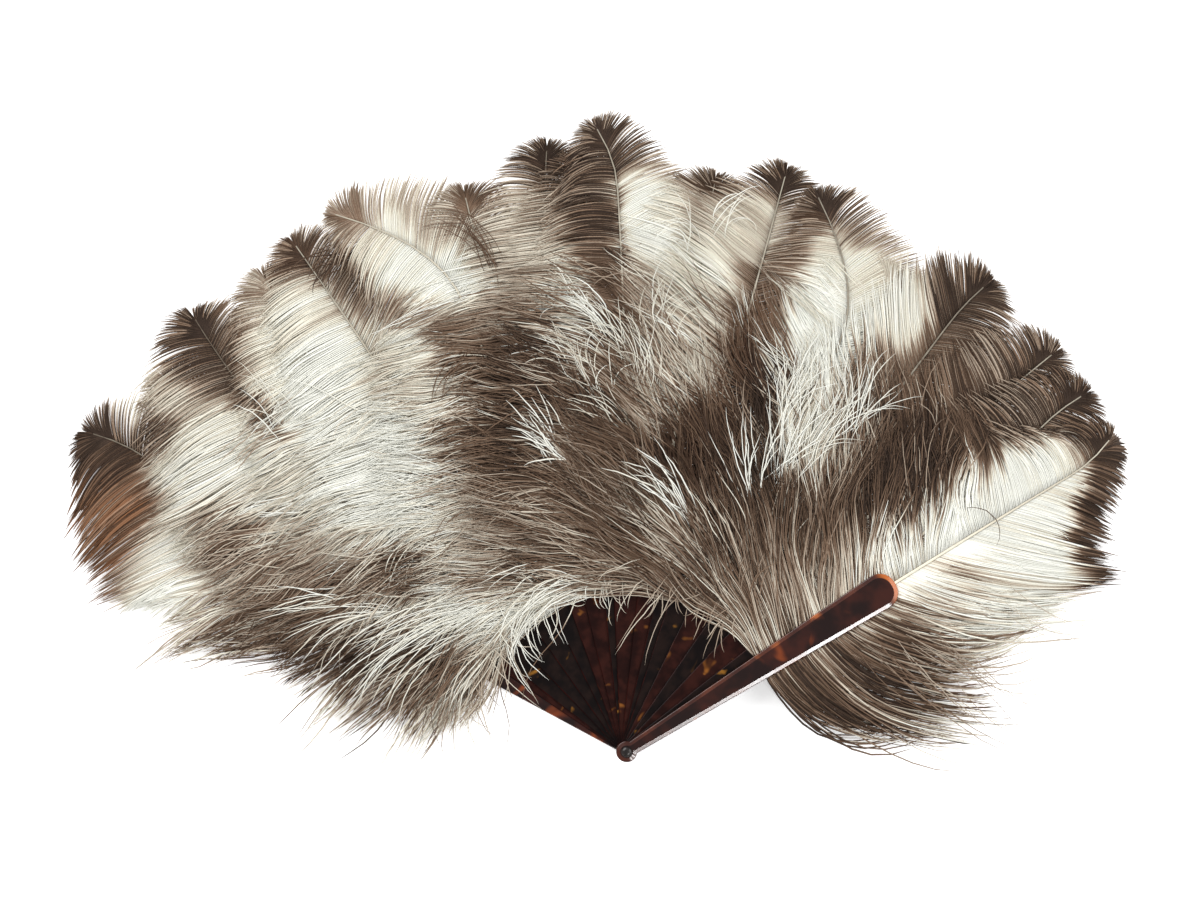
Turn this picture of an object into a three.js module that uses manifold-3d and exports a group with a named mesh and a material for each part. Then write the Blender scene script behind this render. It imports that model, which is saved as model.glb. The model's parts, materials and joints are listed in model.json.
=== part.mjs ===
// Folding fan of ostrich plumes on tortoiseshell sticks, lying open on its back.
// Millimetres, +Z up. The origin is on the rivet's axis, at the flat back of the rear guard.
// A stick, its plume's shaft and its plume's web share one layer of the stack, so that
// every layer can turn about the rivet over the one below it.
import * as THREE from 'three';
import { mergeVertices } from 'three/addons/utils/BufferGeometryUtils.js';
import Module from 'manifold-3d';

const wasm = await Module();
wasm.setup();

// Spread of the open fan, measured counterclockwise from +X
const REAR_GUARD_DEG = 149.5;
const FRONT_GUARD_DEG = 32.2;

// Guards: the two outer sticks, with a blade and a thicker block round the rivet. A guard's
// plume lies against its inner face, and the quill runs back towards the block.
const GUARD_REACH = 202;
const GUARD_NECK_WIDTH = 8.4;
const GUARD_TIP_WIDTH = 24;
const GUARD_TIP_CORNER = 10.4;
const GUARD_BLADE = 2.2;
const GUARD_EDGE = 0.5;
const GUARD_HEAD_RADIUS = 6.6;
const GUARD_QUILL = 11;

// Inner sticks: short thin blades
const STICK_REACH = 106;
const STICK_NECK_WIDTH = 7.6;
const STICK_TIP_WIDTH = 17;
const STICK_TIP_CORNER = 2.5;
const STICK_THICKNESS = 1;
const STICK_HEAD_RADIUS = 6.2;

// Quill seat: the slot in the front face of an inner stick that holds the end of its quill
const SEAT_LENGTH = 22;
const TONGUE_THICKNESS = 0.4;

// Plume shafts and webs: the reach of a common plume from the rivet, and the widths of its web
const PLUME_REACH = 380;
const WEB_LEFT_WIDTH = 79;
const WEB_RIGHT_WIDTH = 75;
const SHAFT_BASE_WIDTH = 3;
const SHAFT_TIP_WIDTH = 1;
const SHAFT_THICKNESS = 0.9;
const WEB_THICKNESS = 0.9;
const WEB_PAST_SHAFT = 20;
const WEB_ROOT_FULLNESS = 0.5;
const WEB_SWELL_SHARE = 0.25;
const WEB_TAPER_POWER = 2.5;
const WEB_TAPER_ROUNDNESS = 0.6;
const SWAY_POWER = 3;

// Clearances
const LAYER_GAP = 0.2;
const SIDE_GAP = 0.3;
const SEAT_GAP = 0.1;
const RIVET_GAP = 0.15;

// Rivet: a pin with a flat tail let into the rear guard and a domed cap over the front guard
const RIVET_RADIUS = 1.6;
const RIVET_TAIL_RADIUS = 3.8;
const RIVET_TAIL = 0.8;
const CAP_RADIUS = 3.4;
const CAP_RIM = 0.5;
const CAP_DOME = 1.3;
const CAP_BORE = 0.8;

// Facets
const ROUND_SIDES = 24;
const CURVE_SIDES = 6;
const WEB_STEPS = 14;
const SHAFT_STEPS = 7;
const DOME_STEPS = 4;

// Depth by which two bodies run into each other before they are joined
const JOIN = 0.3;
// Most of a tip's half-width that one of its rounded corners may take
const CORNER_LIMIT = 0.95;

// One row for each stick, from the rear guard to the front guard: how far the stick leans
// from an even spread (degrees), how much longer than a common plume its plume is, how far
// the tip sways to the left, and how brown the plume is. An outer plume also says how much
// wider its webs are.
const STICKS = [
  { lean: 0, longer: 24, sway: -6, brown: 0.75, widerLeft: 11 },
  { lean: 0.8, longer: 4, sway: -14, brown: 0.35 },
  { lean: 4, longer: 16, sway: -44, brown: 0.7 },
  { lean: 2.6, longer: 6, sway: -26, brown: 0.3 },
  { lean: 0.8, longer: 12, sway: 5, brown: 0.35 },
  { lean: -1.2, longer: 14, sway: -7, brown: 0.15 },
  { lean: -1, longer: -6, sway: -5, brown: 0.3 },
  { lean: 0, longer: 13, sway: -25, brown: 0.8 },
  { lean: -0.5, longer: 4, sway: 4, brown: 0.6 },
  { lean: 2.6, longer: 22, sway: 10, brown: 0.65 },
  { lean: 0.8, longer: -8, sway: 0, brown: 0.5 },
  { lean: 0.8, longer: 6, sway: 2, brown: 0.65 },
  { lean: 2.6, longer: -1, sway: -17, brown: 0.4 },
  { lean: 1.6, longer: -28, sway: -5, brown: 0.2 },
  { lean: 0, longer: -2, sway: 2, brown: 0.7 },
  { lean: -1.7, longer: -4, sway: -8, brown: 0.75 },
  { lean: -3.4, longer: -7, sway: 22, brown: 0.6 },
  { lean: 0, longer: -9, sway: -2, brown: 0.45, widerLeft: 3, widerRight: 15 },
];

const LAST = STICKS.length - 1;
const LAYER = Math.max(STICK_THICKNESS, SHAFT_THICKNESS, WEB_THICKNESS);
const PITCH = LAYER + LAYER_GAP;
const REAR_BLADE_Z = 0;
const FIRST_LAYER_Z = REAR_BLADE_Z + GUARD_BLADE + LAYER_GAP;
const layerZ = (index) => FIRST_LAYER_Z + index * PITCH;
const FRONT_BLADE_Z = layerZ(LAST) + PITCH;
const FRONT_FACE_Z = FRONT_BLADE_Z + GUARD_BLADE;

const WEB_ROOT = STICK_REACH + 2 * SIDE_GAP;
const GUARD_SHAFT_ROOT = WEB_ROOT - GUARD_QUILL;
const GUARD_BLOCK_REACH = GUARD_SHAFT_ROOT - SIDE_GAP;
const SEAT_WIDTH = SHAFT_BASE_WIDTH + 2 * SIDE_GAP;
const RIVET_HOLE_RADIUS = RIVET_RADIUS + RIVET_GAP;

const SHELL_DARK = 0x2a130c;
const SHELL_AMBER = 0x3a1a0e;
const QUILL_CREAM = 0xd9cfb2;
const CREAM = new THREE.Color(0xe6dfcf);
const UMBER = new THREE.Color(0x63503f);

const shell = (color) => new THREE.MeshStandardMaterial({ color, roughness: 0.15, metalness: 0 });
const darkMetal = new THREE.MeshStandardMaterial({ color: 0x1b1715, roughness: 0.3, metalness: 0.6 });
const quill = new THREE.MeshStandardMaterial({ color: QUILL_CREAM, roughness: 0.45, metalness: 0 });

// Soft down, between cream and umber
function down(brown) {
  const color = CREAM.clone().lerp(UMBER, brown);
  return new THREE.MeshStandardMaterial({ color, roughness: 0.95, metalness: 0 });
}

// A closed geometry as a solid that can be joined and cut
function solidOf(geometry) {
  const bare = geometry.clone();
  bare.deleteAttribute('normal');
  bare.deleteAttribute('uv');
  const merged = mergeVertices(bare, 1e-4);
  return new wasm.Manifold(new wasm.Mesh({
    numProp: 3,
    vertProperties: new Float32Array(merged.attributes.position.array),
    triVerts: new Uint32Array(merged.index.array),
  }));
}

// A solid back as a geometry
function geometryOf(solid) {
  const mesh = solid.getMesh();
  const geometry = new THREE.BufferGeometry();
  geometry.setAttribute('position', new THREE.BufferAttribute(mesh.vertProperties, 3));
  geometry.setIndex(new THREE.BufferAttribute(mesh.triVerts, 1));
  geometry.computeVertexNormals();
  return geometry;
}

// A flat outline, raised from z by its thickness
function slab(shape, z, thickness, edge = 0) {
  const geometry = new THREE.ExtrudeGeometry(shape, {
    depth: thickness - 2 * edge,
    curveSegments: CURVE_SIDES,
    bevelEnabled: edge > 0,
    bevelSize: edge,
    bevelOffset: -edge,
    bevelThickness: edge,
    bevelSegments: 1,
  });
  return geometry.translate(0, 0, z + edge);
}

// A closed polygon as an outline
const polygon = (points) => new THREE.Shape(points);

// The round hole that the rivet turns in
function rivetHole() {
  const hole = new THREE.Path();
  hole.absarc(0, 0, RIVET_HOLE_RADIUS, 0, 2 * Math.PI, true);
  return hole;
}

// Outline of a stick along +X: a round head at the rivet, straight edges that widen from
// the neck, and a tip with rounded corners. A corner of 0 leaves the end square.
function stickOutline({ reach, neck, tip, tipReach, corner, head }) {
  const halfAt = (x) => (neck + ((tip - neck) * x) / tipReach) / 2;
  const neckX = Math.sqrt(head * head - (neck * neck) / 4);
  const headAngle = Math.atan2(halfAt(neckX), neckX);
  const neckRadius = Math.hypot(neckX, halfAt(neckX));
  const shape = new THREE.Shape();
  shape.moveTo(neckX, -halfAt(neckX));
  if (corner > 0) {
    const round = Math.min(corner, CORNER_LIMIT * halfAt(reach));
    const x = reach - round;
    const y = halfAt(x) - round;
    shape.lineTo(x, -halfAt(x));
    shape.absarc(x, -y, round, -Math.PI / 2, 0, false);
    shape.absarc(x, y, round, 0, Math.PI / 2, false);
  } else {
    shape.lineTo(reach, -halfAt(reach));
    shape.lineTo(reach, halfAt(reach));
  }
  shape.lineTo(neckX, halfAt(neckX));
  shape.absarc(0, 0, neckRadius, headAngle, 2 * Math.PI - headAngle, false);
  shape.holes.push(rivetHole());
  return shape;
}

// A guard is a bevelled blade joined to a block that fills the plume's layer near the rivet
function guardSolid(bladeZ, blockZ) {
  const sizes = {
    neck: GUARD_NECK_WIDTH,
    tip: GUARD_TIP_WIDTH,
    tipReach: GUARD_REACH,
    head: GUARD_HEAD_RADIUS,
  };
  const bladeShape = stickOutline({ ...sizes, reach: GUARD_REACH, corner: GUARD_TIP_CORNER });
  const inset = {
    ...sizes,
    neck: GUARD_NECK_WIDTH - 2 * GUARD_EDGE,
    tip: GUARD_TIP_WIDTH - 2 * GUARD_EDGE,
    head: GUARD_HEAD_RADIUS - GUARD_EDGE,
  };
  const blockShape = stickOutline({ ...inset, reach: GUARD_BLOCK_REACH, corner: 0 });
  const blockBottom = Math.min(blockZ, bladeZ + GUARD_BLADE - JOIN);
  const blockTop = Math.max(blockZ + LAYER, bladeZ + JOIN);
  const blade = solidOf(slab(bladeShape, bladeZ, GUARD_BLADE, GUARD_EDGE));
  const block = solidOf(slab(blockShape, blockBottom, blockTop - blockBottom));
  return blade.add(block);
}

// The rear guard has a round recess in its back for the rivet's tail
function rearGuardGeometry(blockZ) {
  const depth = RIVET_TAIL + LAYER_GAP;
  const recess = turned([
    [0, REAR_BLADE_Z - JOIN],
    [RIVET_TAIL_RADIUS + RIVET_GAP, REAR_BLADE_Z - JOIN],
    [RIVET_TAIL_RADIUS + RIVET_GAP, REAR_BLADE_Z + depth],
    [0, REAR_BLADE_Z + depth],
  ]);
  return geometryOf(guardSolid(REAR_BLADE_Z, blockZ).subtract(solidOf(recess)));
}

// An inner stick is a flat blade with the quill seat cut in the front of its tip
function stickGeometry(frontZ) {
  const outline = stickOutline({
    reach: STICK_REACH,
    neck: STICK_NECK_WIDTH,
    tip: STICK_TIP_WIDTH,
    tipReach: STICK_REACH,
    corner: STICK_TIP_CORNER,
    head: STICK_HEAD_RADIUS,
  });
  const blade = solidOf(slab(outline, frontZ - STICK_THICKNESS, STICK_THICKNESS));
  const depth = TONGUE_THICKNESS + SEAT_GAP;
  const cut = new THREE.BoxGeometry(SEAT_LENGTH + JOIN, SEAT_WIDTH, depth + JOIN);
  cut.translate(STICK_REACH + (JOIN - SEAT_LENGTH) / 2, 0, frontZ + (JOIN - depth) / 2);
  return geometryOf(blade.subtract(solidOf(cut)));
}

const plumeReach = (row) => PLUME_REACH + row.longer;

// Centre line of a plume: a point and its left-hand direction, at a share of the way to the tip
function plumeLine(row, share) {
  const tipX = Math.sqrt(plumeReach(row) ** 2 - row.sway ** 2);
  const run = tipX - WEB_ROOT;
  const centre = new THREE.Vector2(WEB_ROOT + run * share, row.sway * share ** SWAY_POWER);
  const slope = (SWAY_POWER * row.sway * share ** (SWAY_POWER - 1)) / run;
  const leftward = new THREE.Vector2(-slope, 1).normalize();
  return { centre, leftward };
}

// Width of a web: it swells from the root, then closes in a rounded tip
function webWidth(full, share) {
  const swell = THREE.MathUtils.smoothstep(share, 0, WEB_SWELL_SHARE);
  const root = WEB_ROOT_FULLNESS + (1 - WEB_ROOT_FULLNESS) * swell;
  return full * root * (1 - share ** WEB_TAPER_POWER) ** WEB_TAPER_ROUNDNESS;
}

const shaftHalfWidth = (share) =>
  THREE.MathUtils.lerp(SHAFT_BASE_WIDTH, SHAFT_TIP_WIDTH, share) / 2;

// A point beside a plume's centre line, to the left for a positive offset
function beside(row, share, offset) {
  const { centre, leftward } = plumeLine(row, share);
  return centre.addScaledVector(leftward, offset);
}

// Shares from 0 to end, in equal steps
const shares = (steps, end) => Array.from({ length: steps + 1 }, (_, i) => (end * i) / steps);

// Shares from 0 to 1 that crowd towards both ends, where a web's outline turns fastest
const endwardShares = (steps) => shares(steps, Math.PI).map((turn) => (1 - Math.cos(turn)) / 2);

// Share of the way to the tip at which a plume's shaft ends
const shaftEnd = (row) => 1 - WEB_PAST_SHAFT / (plumeReach(row) - WEB_ROOT);

// The shaft from the web's root to near the tip, with its quill running back to shaftRoot
function shaftGeometry(row, frontZ, shaftRoot, quillThickness) {
  const stations = shares(SHAFT_STEPS, shaftEnd(row));
  const left = stations.map((s) => beside(row, s, shaftHalfWidth(s)));
  const right = stations.map((s) => beside(row, s, -shaftHalfWidth(s)));
  const plan = polygon([...right, ...left.reverse()]);
  const body = solidOf(slab(plan, frontZ - SHAFT_THICKNESS, SHAFT_THICKNESS));
  const half = SHAFT_BASE_WIDTH / 2;
  const quillEnd = WEB_ROOT + JOIN;
  const tongue = solidOf(slab(polygon([
    new THREE.Vector2(shaftRoot, -half),
    new THREE.Vector2(quillEnd, -half),
    new THREE.Vector2(quillEnd, half),
    new THREE.Vector2(shaftRoot, half),
  ]), frontZ - quillThickness, quillThickness));
  return geometryOf(body.add(tongue));
}

// The web is one flat plate round its shaft: a left and a right side that meet at the tip
function webGeometry(row, frontZ) {
  const leftWidth = WEB_LEFT_WIDTH + (row.widerLeft ?? 0);
  const rightWidth = WEB_RIGHT_WIDTH + (row.widerRight ?? 0);
  const outer = endwardShares(WEB_STEPS);
  const end = shaftEnd(row);
  const inner = shares(SHAFT_STEPS, end);
  const slot = (share) => shaftHalfWidth(share) + SIDE_GAP;
  const slotEnd = end + SIDE_GAP / (plumeReach(row) - WEB_ROOT);
  const outline = [
    ...outer.map((s) => beside(row, s, -Math.max(webWidth(rightWidth, s), slot(s)))),
    ...outer.slice(0, -1).reverse()
      .map((s) => beside(row, s, Math.max(webWidth(leftWidth, s), slot(s)))),
    ...inner.map((s) => beside(row, s, slot(s))),
    beside(row, slotEnd, slot(end)),
    beside(row, slotEnd, -slot(end)),
    ...inner.reverse().map((s) => beside(row, s, -slot(s))),
  ];
  return slab(polygon(outline), frontZ - WEB_THICKNESS, WEB_THICKNESS);
}

// A profile of (radius, height) pairs turned round the rivet's axis
function turned(profile) {
  const points = profile.map(([radius, height]) => new THREE.Vector2(radius, height));
  return new THREE.LatheGeometry(points, ROUND_SIDES).rotateX(Math.PI / 2);
}

function rivetPin() {
  const top = FRONT_FACE_Z + LAYER_GAP + CAP_BORE - SEAT_GAP;
  const tail = REAR_BLADE_Z + RIVET_TAIL;
  return turned([
    [0, REAR_BLADE_Z],
    [RIVET_TAIL_RADIUS, REAR_BLADE_Z],
    [RIVET_TAIL_RADIUS, tail],
    [RIVET_RADIUS, tail],
    [RIVET_RADIUS, top],
    [0, top],
  ]);
}

function rivetCap() {
  const bottom = FRONT_FACE_Z + LAYER_GAP;
  const bore = RIVET_RADIUS + SEAT_GAP;
  const dome = shares(DOME_STEPS, Math.PI / 2).map((angle) => [
    CAP_RADIUS * Math.cos(angle),
    bottom + CAP_RIM + CAP_DOME * Math.sin(angle),
  ]);
  dome[dome.length - 1][0] = 0;
  return turned([
    [0, bottom + CAP_BORE],
    [bore, bottom + CAP_BORE],
    [bore, bottom],
    [CAP_RADIUS, bottom],
    ...dome,
  ]);
}

// Angle of a stick, counterclockwise from +X
function stickAngle(index) {
  const even = THREE.MathUtils.lerp(REAR_GUARD_DEG, FRONT_GUARD_DEG, index / LAST);
  return THREE.MathUtils.degToRad(even + STICKS[index].lean);
}

function named(name, geometry, material) {
  const mesh = new THREE.Mesh(geometry, material);
  mesh.name = name;
  return mesh;
}

// One stick with its shaft and web, turned to its place in the spread
function stickGroup(row, index) {
  const tag = String(index).padStart(2, '0');
  const z = layerZ(index);
  const frontZ = z + LAYER;
  const group = new THREE.Group();
  group.rotation.z = stickAngle(index);
  const isGuard = index === 0 || index === LAST;
  if (index === 0) {
    group.add(named('rear_guard', rearGuardGeometry(z), shell(SHELL_AMBER)));
  } else if (index === LAST) {
    const guard = geometryOf(guardSolid(FRONT_BLADE_Z, z));
    group.add(named('front_guard', guard, shell(SHELL_AMBER)));
  } else {
    group.add(named(`stick_${tag}`, stickGeometry(frontZ), shell(SHELL_DARK)));
  }
  const quillThickness = isGuard ? SHAFT_THICKNESS : TONGUE_THICKNESS;
  const root = isGuard ? GUARD_SHAFT_ROOT : STICK_REACH - SEAT_LENGTH + SIDE_GAP;
  const shaft = shaftGeometry(row, frontZ, root, quillThickness);
  group.add(named(`plume_shaft_${tag}`, shaft, quill));
  group.add(named(`plume_web_${tag}`, webGeometry(row, frontZ), down(row.brown)));
  return group;
}

const fan = new THREE.Group();
STICKS.forEach((row, index) => fan.add(stickGroup(row, index)));
fan.add(named('rivet_pin', rivetPin(), darkMetal));
fan.add(named('rivet_cap', rivetCap(), darkMetal));

export default fan;
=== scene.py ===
"""Dress an open folding fan of ostrich plumes on tortoiseshell sticks.

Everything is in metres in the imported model's frame: +Z along the rivet and out of the fan's front,
+X to the right and +Y up the fan. Sizes that are easier to read in millimetres carry MM.
"""

from __future__ import annotations

import json
import logging
import math
from dataclasses import dataclass, field, replace
from enum import Enum
from typing import Iterator, Sequence

import bmesh
import bpy
import numpy as np
from mathutils import Matrix, Vector

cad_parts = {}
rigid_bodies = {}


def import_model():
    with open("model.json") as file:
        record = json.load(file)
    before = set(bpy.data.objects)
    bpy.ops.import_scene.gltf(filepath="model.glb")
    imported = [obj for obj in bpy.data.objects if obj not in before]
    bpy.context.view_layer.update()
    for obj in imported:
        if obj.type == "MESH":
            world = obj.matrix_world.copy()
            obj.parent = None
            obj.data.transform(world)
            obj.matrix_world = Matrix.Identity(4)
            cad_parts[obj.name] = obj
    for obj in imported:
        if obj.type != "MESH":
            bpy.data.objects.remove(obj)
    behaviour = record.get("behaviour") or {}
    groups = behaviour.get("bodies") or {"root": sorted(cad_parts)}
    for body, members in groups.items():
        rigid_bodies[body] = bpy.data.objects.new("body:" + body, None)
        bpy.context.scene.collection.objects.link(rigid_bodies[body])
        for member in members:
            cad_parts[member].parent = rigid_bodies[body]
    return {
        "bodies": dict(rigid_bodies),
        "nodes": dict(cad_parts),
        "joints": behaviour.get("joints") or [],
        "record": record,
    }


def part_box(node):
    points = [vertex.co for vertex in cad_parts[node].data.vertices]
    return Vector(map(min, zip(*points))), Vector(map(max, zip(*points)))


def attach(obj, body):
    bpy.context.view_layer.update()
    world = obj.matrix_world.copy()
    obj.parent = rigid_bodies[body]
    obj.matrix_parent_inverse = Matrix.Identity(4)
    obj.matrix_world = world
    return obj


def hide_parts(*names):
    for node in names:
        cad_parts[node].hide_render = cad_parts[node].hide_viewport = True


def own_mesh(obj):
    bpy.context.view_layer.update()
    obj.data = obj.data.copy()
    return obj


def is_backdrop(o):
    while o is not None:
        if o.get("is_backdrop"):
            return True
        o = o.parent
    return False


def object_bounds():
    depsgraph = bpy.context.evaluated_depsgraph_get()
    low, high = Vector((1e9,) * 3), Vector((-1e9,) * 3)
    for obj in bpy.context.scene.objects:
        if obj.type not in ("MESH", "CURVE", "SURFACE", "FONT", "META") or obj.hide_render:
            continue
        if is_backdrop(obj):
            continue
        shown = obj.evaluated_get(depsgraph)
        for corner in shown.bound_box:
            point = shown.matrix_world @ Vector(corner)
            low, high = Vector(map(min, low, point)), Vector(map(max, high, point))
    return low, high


LOG = logging.getLogger("plume_fan")

Array = np.ndarray
Colour = tuple[float, float, float]
Material = bpy.types.Material
Piece = bpy.types.Object
Profile = tuple[tuple[float, ...], tuple[float, ...]]
Shape = bmesh.types.BMesh
Socket = bpy.types.NodeSocket

MM = 0.001
TINY = 1e-6
ROUND = 0.5
UP = (0.0, 0.0, 1.0)
ORIGIN = (0.0, 0.0, 0.0)
WHITE = (1.0, 1.0, 1.0)

FOLD_JOINT = "fan_fold"
REAR_GUARD = "rear_guard"
FRONT_GUARD = "front_guard"

TIP_BAND = 0.2 * MM
SWAY_POWER = 3
BOW_POWER = 1.5
RISE_POWER = 3
STRAND_POINTS = 10


class Side(Enum):
    """The two sides of a plume, seen from the front with its tip up."""

    LEFT = 1
    RIGHT = -1


class Value(Enum):
    """Names of the values that the strands carry for their material."""

    BROWN = "brown"
    GINGER = "ginger"


@dataclass(frozen=True)
class PlumeRow:
    """How one plume differs from the others, in millimetres and degrees.

    left and right are the lengths of the longest barbs on each side. lay and sweep turn the roots and
    the ends of the left barbs towards the tip, and curl turns the ends of those near the tip away from
    it. droop is how far the ends of the right barbs hang towards the table, rise how far the tip curls
    up over the plumes beside it, bow how far its middle bends to the right, and hook how far its end
    bends to the left, from the share hook_from of its length on. horn is how dark the rachis is and
    edge how brown the ends of the right barbs are, both from 0 to 1. root_lobe and lobe are how many
    times as long the lowest barbs are, at the root and a little above it, and sag turns the lowest
    right ones down. sail and fin are how many times as long the left and the right barbs of the upper
    half are, and rake turns those right ones towards the tip.
    """

    left: float = 100.0
    right: float = 92.0
    lay: float = 0.0
    sweep: float = 0.0
    curl: float = 0.0
    droop: float = 1.0
    rise: float = 1.0
    bow: float = 0.0
    hook: float = 0.0
    hook_from: float = 0.86
    horn: float = 0.4
    edge: float = 0.0
    root_lobe: float = 1.0
    lobe: float = 1.0
    sag: float = 0.0
    sail: float = 1.0
    fin: float = 1.0
    rake: float = 0.0


PLUME_ROWS: tuple[PlumeRow, ...] = (
    PlumeRow(
        left=106, lay=24, sweep=10, curl=10, hook=8, horn=0.8, root_lobe=0.46, lobe=0.8, sail=1.32,
    ),
    PlumeRow(left=104, lay=14, sweep=2, root_lobe=0.56, lobe=0.86),
    PlumeRow(lay=2, sweep=-4, curl=8, rise=10, horn=0.9, root_lobe=0.68, lobe=0.92, sail=1.36),
    PlumeRow(lay=-8, sweep=-14),
    PlumeRow(lay=-12, sweep=-18),
    PlumeRow(lay=-12, sweep=-20, curl=8, rise=9, bow=18, hook=46, hook_from=0.7, horn=0.12),
    PlumeRow(lay=-12, sweep=-20),
    PlumeRow(lay=-10, sweep=-18, curl=14, horn=0.8),
    PlumeRow(lay=-8, sweep=-14),
    PlumeRow(lay=-4, sweep=-8, curl=30, rise=10, hook=13, horn=0.45),
    PlumeRow(lay=2, sweep=6),
    PlumeRow(lay=6, sweep=10, rise=3),
    PlumeRow(lay=8, sweep=14, rise=9, bow=30, hook=34, hook_from=0.7, horn=0.6),
    PlumeRow(lay=10, sweep=18),
    PlumeRow(lay=14, sweep=22, curl=-30, rise=7, hook=-5, horn=0.7),
    PlumeRow(lay=12, sweep=24, curl=16, sail=0.84),
    PlumeRow(lay=10, sweep=22, curl=34, droop=6, hook=-7, sail=0.84),
    PlumeRow(
        left=104, lay=6, sweep=24, curl=60, droop=15, hook=9, horn=0.05, edge=0.9, root_lobe=1.32,
        lobe=1.28, sag=26, fin=1.4, rake=15,
    ),
)
LAST = len(PLUME_ROWS) - 1


@dataclass(frozen=True)
class Patch:
    """A soft patch of colour on the open fan.

    stick and radius place its middle, counted in sticks from the rear guard and in millimetres from
    the rivet. across and along are its half sizes in the same units. brown runs from 0, white, to 1,
    the darkest brown, and ginger adds red.
    """

    stick: float
    radius: float
    across: float
    along: float
    brown: float
    ginger: float = 0.0


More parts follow.
